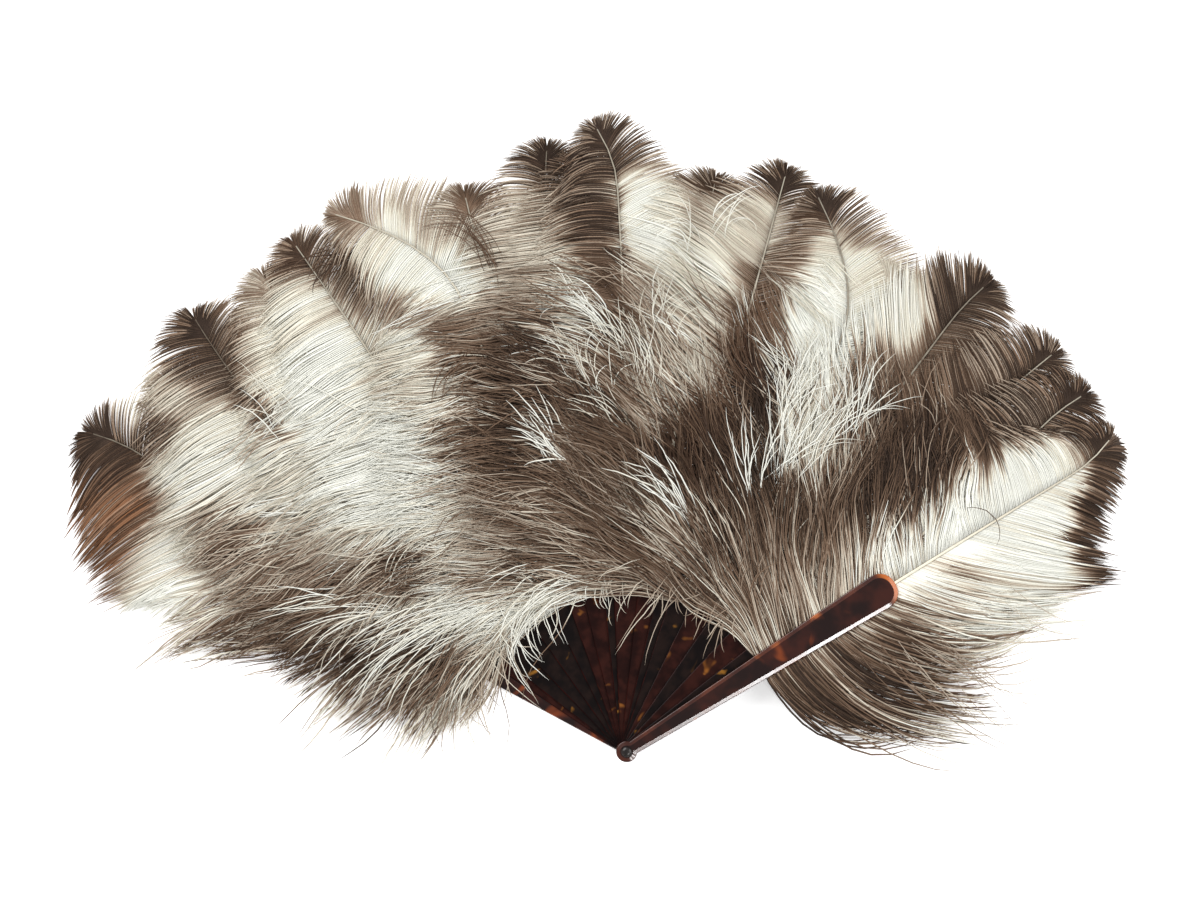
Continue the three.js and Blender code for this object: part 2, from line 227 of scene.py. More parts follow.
PATCHES: tuple[Patch, ...] = (
    # Rim, from left to right
    Patch(-0.2, 390, 0.5, 22, 0.95),
    Patch(-1.1, 360, 0.8, 24, 0.72, 1.0),
    Patch(0.45, 364, 0.25, 12, 0.82),
    Patch(0.9, 396, 0.35, 20, 0.24),
    Patch(2.15, 382, 0.52, 32, 0.97),
    Patch(1.6, 360, 0.22, 14, 0.74),
    Patch(2.7, 384, 0.3, 16, 0.24),
    Patch(3.6, 382, 0.3, 10, 0.62, 0.3),
    Patch(4.05, 374, 0.25, 12, 0.78),
    Patch(4.9, 388, 0.6, 10, 0.38),
    Patch(5.8, 362, 0.3, 16, 0.36),
    Patch(6.6, 370, 0.25, 12, 0.62),
    Patch(7.4, 382, 0.45, 12, 0.92),
    Patch(8.4, 388, 0.45, 14, 0.8),
    Patch(9.2, 376, 0.3, 10, 0.6),
    Patch(9.9, 369, 0.25, 8, 0.7),
    Patch(10.9, 378, 0.5, 8, 0.82),
    Patch(11.7, 374, 0.3, 8, 0.76),
    Patch(12.3, 363, 0.3, 9, 0.6),
    Patch(14.0, 362, 0.5, 18, 0.84),
    Patch(15.4, 362, 0.4, 16, 0.86),
    Patch(16.3, 364, 0.4, 15, 0.92),
    Patch(17.0, 364, 0.35, 14, 0.84),
    Patch(17.9, 338, 0.3, 10, 0.7),
    # Outer half
    Patch(-1.4, 325, 0.7, 20, 0.1),
    Patch(0.2, 338, 0.5, 18, 0.2),
    Patch(1.0, 330, 0.6, 30, 0.2),
    Patch(1.75, 325, 0.12, 28, 0.8),
    Patch(2.8, 340, 0.7, 35, 0.1),
    Patch(4.2, 346, 0.2, 14, 0.68),
    Patch(4.6, 324, 0.2, 14, 0.58),
    Patch(5.0, 350, 0.4, 18, 0.04),
    Patch(5.7, 322, 0.4, 20, 0.06),
    Patch(6.2, 345, 0.18, 20, 0.46),
    Patch(7.0, 342, 0.45, 22, 0.38),
    Patch(8.1, 345, 0.36, 30, 0.8),
    Patch(8.95, 342, 0.4, 26, 0.08),
    Patch(9.6, 338, 0.2, 16, 0.36),
    Patch(10.4, 342, 0.45, 16, 0.28),
    Patch(11.3, 335, 0.25, 26, 0.58, 0.2),
    Patch(12.3, 332, 0.6, 24, 0.04),
    Patch(13.3, 332, 0.3, 16, 0.18),
    Patch(14.5, 328, 0.5, 20, 0.7),
    Patch(15.7, 330, 0.5, 22, 0.84),
    Patch(17.2, 315, 0.75, 32, 0.0),
    # Middle
    Patch(-1.9, 295, 0.5, 18, 0.4),
    Patch(-0.6, 293, 0.6, 18, 0.5),
    Patch(1.0, 270, 0.6, 40, 0.22),
    Patch(2.4, 255, 0.65, 50, 0.1),
    Patch(3.5, 240, 0.4, 26, 0.0),
    Patch(3.9, 275, 0.3, 24, 0.3),
    Patch(4.5, 280, 0.35, 28, 0.22),
    Patch(5.4, 285, 0.4, 24, 0.6),
    Patch(6.4, 292, 0.5, 18, 0.5),
    Patch(6.3, 255, 0.6, 24, 0.76),
    Patch(7.5, 285, 0.25, 24, 0.2),
    Patch(8.2, 298, 0.3, 18, 0.66),
    Patch(8.2, 255, 0.45, 24, 0.62),
    Patch(8.8, 300, 0.3, 14, 0.42),
    Patch(9.3, 260, 0.4, 22, 0.42),
    Patch(9.8, 302, 0.45, 20, 0.25),
    Patch(10.0, 256, 0.35, 20, 0.36),
    Patch(10.9, 280, 0.35, 30, 0.62, 0.2),
    Patch(11.5, 245, 0.3, 20, 0.82),
    Patch(12.4, 292, 0.55, 26, 0.08),
    Patch(12.6, 250, 0.5, 22, 0.16),
    Patch(13.7, 282, 0.4, 28, 0.56),
    Patch(15.0, 270, 0.6, 40, 0.74),
    Patch(16.8, 240, 0.45, 35, 0.0),
    Patch(17.7, 245, 0.25, 18, 0.34),
    Patch(18.5, 285, 0.5, 35, 0.06),
    # Inner half
    Patch(-2.3, 258, 0.4, 20, 0.64),
    Patch(-1.0, 255, 0.5, 18, 0.5),
    Patch(-2.1, 215, 0.6, 24, 0.76),
    Patch(-0.5, 222, 0.5, 20, 0.52),
    Patch(0.4, 232, 0.35, 22, 0.46),
    Patch(-2.0, 185, 0.6, 14, 0.82),
    Patch(-0.6, 182, 0.5, 12, 0.26),
    Patch(1.0, 188, 0.55, 14, 0.62),
    Patch(2.3, 190, 0.4, 20, 0.2),
    Patch(3.3, 185, 0.4, 20, 0.36),
    Patch(4.4, 215, 0.4, 18, 0.56),
    Patch(5.5, 218, 0.6, 24, 0.72),
    Patch(4.8, 178, 0.7, 22, 0.56),
    Patch(6.3, 205, 0.25, 20, 0.38),
    Patch(7.8, 220, 0.7, 20, 0.62),
    Patch(7.4, 178, 1.2, 24, 0.62),
    Patch(9.3, 218, 0.3, 14, 0.38),
    Patch(10.3, 200, 0.6, 26, 0.82, 0.15),
    Patch(11.6, 210, 0.5, 24, 0.8),
    Patch(12.9, 224, 0.5, 14, 0.2),
    Patch(12.0, 165, 0.6, 22, 0.7),
    Patch(13.8, 185, 0.8, 22, 0.64),
    Patch(12.6, 198, 0.3, 16, 0.86),
    Patch(11.9, 232, 0.3, 14, 0.8),
    Patch(15.0, 220, 0.5, 16, 0.7),
    Patch(15.6, 170, 0.5, 26, 0.46),
    Patch(17.6, 205, 0.3, 10, 0.4),
    Patch(19.2, 172, 1.3, 22, 0.74),
    # Near the sticks
    Patch(-3.2, 150, 0.8, 20, 0.5),
    Patch(-1.3, 145, 0.7, 16, 0.62),
    Patch(1.0, 145, 0.7, 13, 0.05),
    Patch(-2.0, 116, 1.2, 8, 0.3),
    Patch(3.0, 148, 0.5, 14, 0.42),
    Patch(5.0, 142, 1.0, 18, 0.52),
    Patch(7.2, 142, 1.0, 18, 0.56),
    Patch(8.9, 130, 0.7, 12, 0.66, 0.1),
    Patch(10.0, 150, 0.7, 12, 0.46),
    Patch(14.0, 138, 1.1, 24, 0.5),
    Patch(16.0, 140, 0.4, 36, 0.38),
    Patch(19.2, 128, 1.5, 22, 0.78),
    Patch(2.5, 116, 1.0, 9, 0.12),
    Patch(5.0, 110, 1.0, 9, 0.16),
    Patch(7.2, 112, 0.8, 8, 0.46),
    Patch(9.2, 104, 1.2, 6, 0.45),
    Patch(12.0, 112, 1.6, 10, 0.6),
)
GROUND_BROWN = 0.45
GROUND_WEIGHT = 0.04
PATCH_POWER = 1.3


@dataclass(frozen=True)
class Tuft:
    """A loose lock of strands that stands out of one plume.

    stick and radius place its root as a patch is placed. turn is the angle of its middle strand from
    the line through the rivet, to the left, and bend is how far it turns on its way; both are in
    degrees, as is fan, how far its strands spread. length and thickness are those of a strand, base is
    the root's height over the plume and lift how far the lock rises from there, all in millimetres.
    """

    stick: float
    radius: float
    turn: float
    bend: float
    length: float
    count: int
    brown: float
    fan: float = 18.0
    thickness: float = 0.46
    lift: float = 6.0
    base: float = 5.0


TUFTS: tuple[Tuft, ...] = (
    Tuft(6.7, 194, 12, 16, 42, 11, 0.06, 26.0),
    Tuft(6.9, 188, 38, 20, 40, 11, 0.08, 26.0),
    Tuft(10.7, 156, 42, 14, 44, 12, 0.06, 24.0),
    Tuft(10.2, 170, 66, 16, 44, 6, 0.1, 24.0),
    Tuft(12.4, 180, 40, -16, 50, 14, 0.06, 34.0, 0.4),
    Tuft(12.9, 196, 12, -14, 64, 20, 0.05, 44.0, 0.36, 6.0, 4.0),
    Tuft(13.2, 226, -2, 22, 58, 20, 0.06, 50.0, 0.34, 6.0, 4.0),
    Tuft(12.4, 238, 16, -20, 52, 16, 0.07, 50.0, 0.34, 6.0, 4.0),
    Tuft(13.7, 252, 26, -30, 50, 14, 0.07, 46.0, 0.34, 6.0, 4.0),
    Tuft(8.2, 268, 24, 26, 36, 16, 0.06, 28.0),
    Tuft(9.6, 330, 30, 95, 40, 9, 0.08, 40.0, 0.36),
    Tuft(10.1, 338, -10, -80, 34, 8, 0.10, 40.0, 0.36),
    Tuft(6.4, 318, 4, 44, 50, 14, 0.72, 22.0, 0.3),
    Tuft(4.4, 366, 66, 56, 34, 16, 0.84, 30.0, 0.42),
    Tuft(2.2, 132, 54, 46, 112, 16, 0.08, 13.0, 0.4),
    Tuft(1.2, 124, 46, 44, 92, 12, 0.14, 17.0, 0.4),
    Tuft(0.0, 106, 86, 118, 96, 2, 0.24, 10.0, 0.24, 3.0, 2.0),
    Tuft(0.0, 108, 88, 14, 96, 6, 0.3, 28.0, 0.24, 4.0, 3.0),
    Tuft(0.1, 112, 62, 34, 62, 16, 0.62, 40.0, 0.42),
    Tuft(0.0, 110, 96, 20, 46, 8, 0.4, 30.0, 0.36),
    Tuft(0.2, 170, 30, 26, 66, 10, 0.1, 22.0, 0.42),
    Tuft(-0.4, 205, 24, 20, 52, 8, 0.1, 20.0, 0.42),
    Tuft(1.9, 300, -16, 40, 40, 6, 0.08, 12.0, 0.36),
    Tuft(9.4, 114, 90, 80, 34, 6, 0.34, 40.0, 0.34),
    Tuft(10.9, 118, 150, 30, 62, 3, 0.42, 10.0, 0.34),
    Tuft(16.3, 272, -30, -74, 54, 1, 0.8, 0.0, 0.42, 3.0, 6.0),
    Tuft(18.6, 190, -62, 44, 96, 10, 0.44, 26.0, 0.3, 3.0, 1.0),
    Tuft(18.4, 170, -66, 34, 104, 12, 0.6, 28.0, 0.3, 3.0, 1.0),
    Tuft(18.6, 262, -58, 52, 84, 8, 0.34, 26.0, 0.2, 2.0, 0.5),
    Tuft(18.9, 215, -84, 30, 84, 7, 0.5, 26.0, 0.22, 2.0, 0.5),
    Tuft(0.1, 110, 58, 30, 52, 18, 0.66, 66.0, 0.36, 5.0, 3.0),
    Tuft(0.0, 108, 84, 26, 60, 6, 0.36, 44.0, 0.26, 5.0, 3.0),
    Tuft(6.0, 114, 88, 40, 50, 14, 0.12, 16.0, 0.40),
    Tuft(4.3, 114, 100, 50, 44, 14, 0.08, 18.0, 0.40),
    Tuft(4.2, 110, 158, 16, 30, 7, 0.08, 12.0, 0.34),
    Tuft(2.5, 112, 150, 30, 42, 9, 0.08, 12.0, 0.36),
    Tuft(1.6, 112, 150, 60, 50, 5, 0.34, 16.0, 0.34),
    Tuft(5.2, 110, 166, 24, 18, 6, 0.22, 60.0, 0.34, 4.0, 3.0),
    Tuft(7.2, 109, 176, 30, 16, 7, 0.16, 70.0, 0.34, 4.0, 3.0),
    Tuft(8.2, 109, 158, 50, 20, 7, 0.3, 70.0, 0.34, 4.0, 3.0),
    Tuft(10.2, 109, 190, -30, 18, 7, 0.4, 70.0, 0.34, 4.0, 3.0),
    Tuft(11.6, 109, 170, 40, 20, 8, 0.46, 70.0, 0.34, 4.0, 3.0),
    Tuft(12.6, 109, 176, -40, 22, 8, 0.5, 70.0, 0.34, 4.0, 3.0),
    Tuft(13.8, 109, 160, 30, 24, 8, 0.5, 60.0, 0.34, 4.0, 3.0),
    Tuft(7.4, 250, 16, 44, 34, 14, 0.18, 46.0, 0.3, 6.0, 4.0),
    Tuft(8.0, 232, 30, -40, 36, 14, 0.16, 50.0, 0.3, 6.0, 4.0),
    Tuft(8.6, 258, 8, 50, 38, 16, 0.14, 50.0, 0.3, 6.0, 4.0),
    Tuft(8.3, 212, 34, 36, 36, 12, 0.2, 46.0, 0.3, 6.0, 4.0),
    Tuft(9.3, 272, 20, -44, 38, 14, 0.16, 50.0, 0.3, 6.0, 4.0),
    Tuft(9.0, 236, -6, 46, 40, 14, 0.18, 46.0, 0.3, 6.0, 4.0),
    Tuft(7.6, 286, 24, 40, 32, 12, 0.16, 46.0, 0.3, 6.0, 4.0),
)


class Spread:
    """The open fan's angles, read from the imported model."""

    def __init__(self, frame: dict) -> None:
        """Read the fold's range and each stick's share of it.
        """
        self.nodes: dict[str, Piece] = frame["nodes"]
        fold = next(joint for joint in frame["joints"] if joint["name"] == FOLD_JOINT)
        self.opening: float = math.radians(fold["range_deg"][1])
        self.rear_angle: float = self._node_angle(self.nodes[REAR_GUARD])
        ratios = {row["joint"]: row["ratio"] for row in frame["record"]["behaviour"]["couplings"]}
        inner = [ratios[f"stick_{index:02d}_turn"] for index in range(1, LAST)]
        self.turns: list[float] = [0.0, *inner, 1.0]

    @staticmethod
    def _node_angle(node: Piece) -> float:
        """Measure where a stick points, from its points that lie furthest from the rivet.

        Args:
            node: The stick's node.

        Returns:
            Angle of its long axis, from +X.
        """
        spots = np.array([vertex.co[:2] for vertex in node.data.vertices])
        reach = np.hypot(spots[:, 0], spots[:, 1])
        tip = spots[reach > reach.max() - TIP_BAND].mean(axis=0)
        return math.atan2(tip[1], tip[0])

    def angle(self, index: int) -> float:
        """Angle of a stick, counterclockwise from +X."""
        return self.rear_angle - self.opening * self.turns[index]

    def direction(self, stick: float) -> float:
        """Angle of a place counted in even sticks from the rear guard."""
        return self.rear_angle - self.opening * stick / LAST

    def sticks(self, spots: Array) -> tuple[Array, Array]:
        """Place spots by stick number and radius.

        Args:
            spots: Points whose last axis starts with x and y.

        Returns:
            The stick number, counted evenly from the rear guard, and the radius in millimetres.
        """
        turn = np.arctan2(spots[..., 1], spots[..., 0])
        turn = np.where(turn < -math.pi / 2, turn + 2 * math.pi, turn)
        stick = (self.rear_angle - turn) / self.opening * LAST
        return stick, np.hypot(spots[..., 0], spots[..., 1]) / MM

    def nearest(self, stick: float) -> int:
        """Number of the plume whose quill lies nearest to a place."""
        return min(range(LAST + 1), key=lambda index: abs(self.turns[index] - stick / LAST))


def body_of(index: int) -> str:
    """Name the body that a stick's pieces ride on, which is also the stick's own node.

    Args:
        index: The stick's number.

    Returns:
        The name.
    """
    if index == 0:
        return REAR_GUARD
    return FRONT_GUARD if index == LAST else f"stick_{index:02d}"


def blend_patches(spread: Spread, points: Array) -> tuple[Array, Array]:
    """Blend the patches of colour at each point of the open fan.

    Args:
        spread: The fan's angles.
        points: Points whose last axis starts with x and y.

    Returns:
        How brown and how ginger each point is.
    """
    stick, radius = spread.sticks(points)
    total = np.full(stick.shape, GROUND_WEIGHT)
    brown = total * GROUND_BROWN
    ginger = np.zeros(stick.shape)
    for patch in PATCHES:
        across = (stick - patch.stick) / patch.across
        along = (radius - patch.radius) / patch.along
        weight = np.exp(-((across**2 + along**2) ** PATCH_POWER))
        total += weight
        brown += weight * patch.brown
        ginger += weight * patch.ginger
    return brown / total, ginger / total


def link_piece(name: str, mesh: bpy.types.Mesh) -> Piece:
    """Put a mesh into the scene as a piece at the origin.

    Args:
        name: Name of the piece.
        mesh: Its mesh, whose faces become smooth.

    Returns:
        The piece.
    """
    mesh.shade_smooth()
    piece = bpy.data.objects.new(name, mesh)
    bpy.context.scene.collection.objects.link(piece)
    return piece


def new_piece(name: str, shape: Shape, crease: float = 40.0) -> Piece:
    """Turn a finished shape into a piece.

    Args:
        name: Name of the piece.
        shape: Its shape, which is freed.
        crease: Angle in degrees from which two faces meet in a sharp edge.

    Returns:
        The piece.
    """
    mesh = bpy.data.meshes.new(name)
    shape.to_mesh(mesh)
    shape.free()
    piece = link_piece(name, mesh)
    mesh.set_sharp_from_angle(angle=math.radians(crease))
    return piece


@dataclass
class Strands:
    """Many strands of as many points each, and the values that they carry.

    points has the shape (strands, points, 3); the other arrays have the shape (strands, points).
    """

    points: Array
    radius: Array
    brown: Array
    ginger: Array

    @classmethod
    def joined(cls, parts: Sequence[Strands]) -> Strands:
        """All the strands of several sets, in order."""
        arrays = zip(*((part.points, part.radius, part.brown, part.ginger) for part in parts))
        return cls(*map(np.concatenate, arrays))


class Mould:
    """One closed strand, shaped once with mesh operators and cast along any number of paths."""

    def __init__(self, sides: int, rings: int, flatness: float) -> None:
        """Shape the strand that is cast.

        Args:
            sides: Sides of its section.
            rings: Points along it.
            flatness: Its height as a share of its width.
        """
        shape = bmesh.new()
        bmesh.ops.create_circle(shape, segments=sides, radius=1.0)
        rim = shape.edges[:]
        bmesh.ops.spin(shape, geom=rim, angle=0.0, steps=rings - 1, axis=UP, dvec=UP, cent=ORIGIN)
        bmesh.ops.holes_fill(shape, edges=shape.edges[:], sides=sides)
        bmesh.ops.recalc_face_normals(shape, faces=shape.faces[:])
        shape.verts.index_update()
        self.ring = np.array([round(vertex.co.z) for vertex in shape.verts])
        self.across = np.array([vertex.co.x for vertex in shape.verts])
        self.above = np.array([vertex.co.y for vertex in shape.verts]) * flatness
        faces = [[vertex.index for vertex in face.verts] for face in shape.faces]
        # Walls have four corners, and so have the caps of a strand with four sides
        self.quads = np.array([face for face in faces if len(face) == 4])
        self.caps = np.array([face for face in faces if len(face) > 4])
        shape.free()

    def cast(self, name: str, points: Array, radius: Array) -> Piece:
        """Cast the strand along each path.

        Args:
            name: Name of the new piece.
            points: Paths, with the shape (paths, points, 3).
            radius: Half width at each point, with the shape (paths, points).

        Returns:
            The new piece.
        """
        tangent = np.gradient(points, axis=1)
        tangent /= np.linalg.norm(tangent, axis=-1, keepdims=True)
        side = np.cross(np.array(UP), tangent)
        side /= np.maximum(np.linalg.norm(side, axis=-1, keepdims=True), TINY)
        top = np.cross(tangent, side)
        ring = self.ring
        spread = side[:, ring] * self.across[:, None] + top[:, ring] * self.above[:, None]
        spots = points[:, ring] + radius[:, ring, None] * spread
        start = np.arange(len(points)) * len(ring)
        faces: list[list[int]] = []
        for kind in (self.quads, self.caps):
            if len(kind):
                faces += (kind[None] + start[:, None, None]).reshape(-1, kind.shape[1]).tolist()
        mesh = bpy.data.meshes.new(name)
        mesh.from_pydata(spots.reshape(-1, 3), [], faces)
        return link_piece(name, mesh)

    def carry(self, piece: Piece, value: Value, amounts: Array) -> None:
        """Store a value of each path's points on a cast piece.

        Args:
            piece: The piece.
            value: Which value it is.
            amounts: The value, with the shape (paths, points).
        """
        attribute = piece.data.attributes.new(value.value, "FLOAT", "POINT")
        attribute.data.foreach_set("value", amounts[:, self.ring].astype(np.float32).ravel())


class Drift:
    """A value that wanders smoothly along a plume."""

    def __init__(self, draw: np.random.Generator, knots: int, size: float) -> None:
        """Draw the knots, which go about as far as size to either side of zero."""
        self.knots = draw.normal(0.0, size, knots)

    def at(self, share: Array) -> Array:
        """Read the value along the plume.

        Args:
            share: Shares from 0 to 1 of the plume's length.

        Returns:
            The value at each.
        """
        place = np.clip(share, 0.0, 1.0) * (len(self.knots) - 1)
        low = np.minimum(np.floor(place).astype(int), len(self.knots) - 2)
        part = place - low
        ease = part * part * (3 - 2 * part)
        return self.knots[low] * (1 - ease) + self.knots[low + 1] * ease


class Trait(Enum):
    """What wanders along a side of a plume: how many knots it has, and how far they go."""

    TURN = (16, 4.5)
    BEND = (13, 11.0)
    LENGTH = (20, 0.06)
    RISE = (22, 0.35)
    WAVE = (11, 10.0)
    PHASE = (9, 1.6)
    TONE = (24, 0.06)
    SHIFT = (34, 8.0 * MM)


@dataclass(frozen=True)
class Coat:
    """One coat of strands on a side of a plume: the barbs, or the fluff between them.

    count is for a side that shows. half_width is given in millimetres at the plume's stations. reach is
    the length as a share of the web's width, turn how far a strand strays from its neighbours in
    degrees, and uneven how much their lengths differ. tone is how much their colours differ, shade how
    much darker they are where the web is loose, which is painted shade in the gaps under the barbs, and
    pale how far they go to a pale tone where it is combed. height is how far over the web's layer they
    start, and strays the share that stands out.
    """

    count: int
    half_width: tuple[float, ...]
    reach: float
    turn: float
    uneven: float
    tone: float
    # Painted shade: how much darker the strands are where the web is loose, standing in for the shade in
    # the gaps under the barbs.
    shade: float
    pale: float
    height: float
    strays: float


BARBS = Coat(
    count=300, half_width=(0.32, 0.32, 0.33, 0.36, 0.37, 0.36, 0.30, 0.22), reach=1.0, turn=1.4,
    uneven=0.06, tone=0.09, shade=0.0, pale=-0.16, height=0.9 * MM, strays=0.02,
)
# The fluff lies under the barbs; its shade value darkens it as painted shade in the gaps between them.
FLUFF = Coat(
    count=360, half_width=(0.34, 0.30, 0.34, 0.52, 0.64, 0.66, 0.54, 0.30), reach=0.96, turn=2.4,
    uneven=0.08, tone=0.09, shade=0.3, pale=0.5, height=0.3 * MM, strays=0.01,
)


@dataclass(frozen=True)
class Grooming:
    """How the strands on a side of a plume are combed.

    crowd is how many there are as a share of a coat's count, and crowding where along the plume they
    are drawn together. They are loose up to the first share of combing and combed from the second on.
    hold is how much less they wander there, and length_hold how much less their lengths do. ragged is
    how uneven the lowest ones are, strays how many of a coat's strays there are, tone how much more the
    colours differ, and fluff how much of a coat's own painted shade and paleness shows.
    """

    crowd: float
    crowding: tuple[float, ...]
    combing: tuple[float, float]
    hold: float
    length_hold: float = 0.0
    ragged: float = 0.0
    strays: float = 1.0
    tone: float = 1.0
    fluff: float = 1.0


INNER = Grooming(crowd=1.0, crowding=(0.0, 0.57, 0.875, 1.0), combing=(0.5, 0.8), hold=0.62)
HIDDEN = replace(INNER, crowd=0.66)
OUTER = Grooming(
    crowd=2.0, crowding=(0.0, 0.78, 0.94, 1.0), combing=(0.35, 0.6), hold=0.92, length_hold=0.7,
    ragged=0.13, strays=0.0, tone=2.2, fluff=0.4,
)


@dataclass(frozen=True)
class Habit:
    """How single strands of a coat differ from their neighbours, and how they wave, rise and pale.

    A calm value is the share that combing takes away.
    """

    root_jitter: tuple[float, float] = (0.3, 0.7)
    root_loose: float = 1.7
    front_root_loose: float = 0.7
    stray_turn: float = 9.0
    stray_length: float = 1.1
    stray_rise: float = 0.8
    bend: float = 3.0
    turn_calm: float = 0.6
    mean_rise: float = 0.5
    most_rise: float = 1.2
    own_rise: float = 0.5
    phase_span: float = 6.0
    phase: float = 0.3
    phase_calm: float = 0.7
    waves: float = 1.3
    least_swing: float = 10.0
    swing_calm: float = 0.85
    front_swing: float = 0.4
    left_ease: float = 0.9
    right_ease: float = 1.1
    closest: float = 0.5
    lock_power: float = 1.6
    swell_power: float = 1.2
    right_lift: float = 0.3
    right_fall: float = 0.8
    droop_power: float = 1.7
    width: tuple[float, float] = (0.85, 1.15)
    colour_aside: float = 7.0 * MM
    colour_along: float = 6.0 * MM
    contrast: float = 1.3
    rim_tone: float = 0.30
    edge_band: tuple[float, float] = (21.0 * MM, 29.0 * MM)
    tone_calm: float = 0.5
    pale_tone: float = 0.2
    ginger: float = 0.3


@dataclass(frozen=True)
class LockHabit:
    """How the strands of a loose lock differ from each other. A pair holds the least and the most."""

    root_spread: float = 4.5 * MM
    fan_part: float = 2.6
    bend_uneven: float = 0.35
    bend_fan: float = 0.5
    bend_power: float = 1.3
    kink: float = 4.0
    length: tuple[float, float] = (0.65, 1.15)
    rise: tuple[float, float] = (0.5, 1.0)
    arch: float = 0.62
    width: tuple[float, float] = (0.7, 1.2)
    tone: float = 0.04


@dataclass(frozen=True)
class FleckHabit:
    """How the small loose locks over a web differ. A pair holds the least and the most.

    along and aside place their roots, in shares of the plume's length and in millimetres from its
    rachis, and aside shrinks towards the tip, from taper times itself. turn, bend and tone are how far
    these go to either side, and paler is added to the web's own tone. The other values are a lock's
    own, and its count stays under the second number.
    """

    along: tuple[float, float] = (0.02, 0.72)
    aside: tuple[float, float] = (4.0, 60.0)
    taper: float = 1.15
    turn: float = 9.0
    bend: float = 22.0
    length: tuple[float, float] = (24.0, 52.0)
    count: tuple[int, int] = (4, 9)
    paler: float = -0.06
    tone: float = 0.15
    brown: tuple[float, float] = (0.02, 0.95)
    fan: tuple[float, float] = (6.0, 18.0)
    thickness: tuple[float, float] = (0.26, 0.40)
    lift: tuple[float, float] = (3.0, 7.0)
    base: float = 2.0


HABIT = Habit()
LOCK = LockHabit()
FLECK = FleckHabit()

# Where along a plume a trait acts, in shares of its length, and how much of it there is at each
RAKE_ZONE: Profile = ((0.25, 0.45, 0.9, 1.0), (0.0, 1.0, 1.0, 0.0))
SAG_ZONE: Profile = ((0.0, 0.1, 0.3), (1.0, 0.6, 0.0))
LAY_ZONE: Profile = ((0.0, 0.25, 0.7, 0.9, 1.0), (0.3, 1.0, 1.0, 0.5, 0.0))
CURL_ZONE: Profile = ((0.5, 0.8, 0.96, 1.0), (0.0, 1.0, 1.0, 0.3))
FIN_ZONE: Profile = ((0.3, 0.5, 0.65, 0.8, 0.95), (0.0, 1.0, 0.5, -0.2, -0.5))
RAGGED_ZONE: Profile = ((0.3, 0.5), (1.0, 0.0))
LOCK_ZONE: Profile = ((0.0, 0.4, 0.7), (1.0, 0.8, 0.0))
BROAD_ZONE: Profile = ((0.3, 0.55, 0.9), (1.9, 1.6, 1.45))
RIM_ZONE: Profile = ((0.75, 0.97), (0.0, 1.0))
EDGE_ZONE: Profile = ((0.4, 0.5), (0.0, 1.0))
LOOSE_AT = (0.0, 0.12, 0.8, 1.0)
LOOSE_ABOVE = (1.0, 0.6, 0.35)
LOBE_AT = (0.0, 0.14, 0.32)
SAIL_AT = (0.35, 0.6, 0.93, 1.0)
HORN_AT = (0.0, 0.5, 0.9)
HORN_ROOT = 0.1
HORN_TIP = 0.4

# The same along a single strand, from its root to its end
STRAND_TAPER: Profile = ((0.0, 0.5, 0.86, 1.0), (1.0, 0.94, 0.72, 0.16))
LOCK_TAPER: Profile = ((0.0, 0.35, 0.8, 1.0), (0.5, 1.0, 0.75, 0.15))
STEPS = np.linspace(0.0, 1.0, STRAND_POINTS)


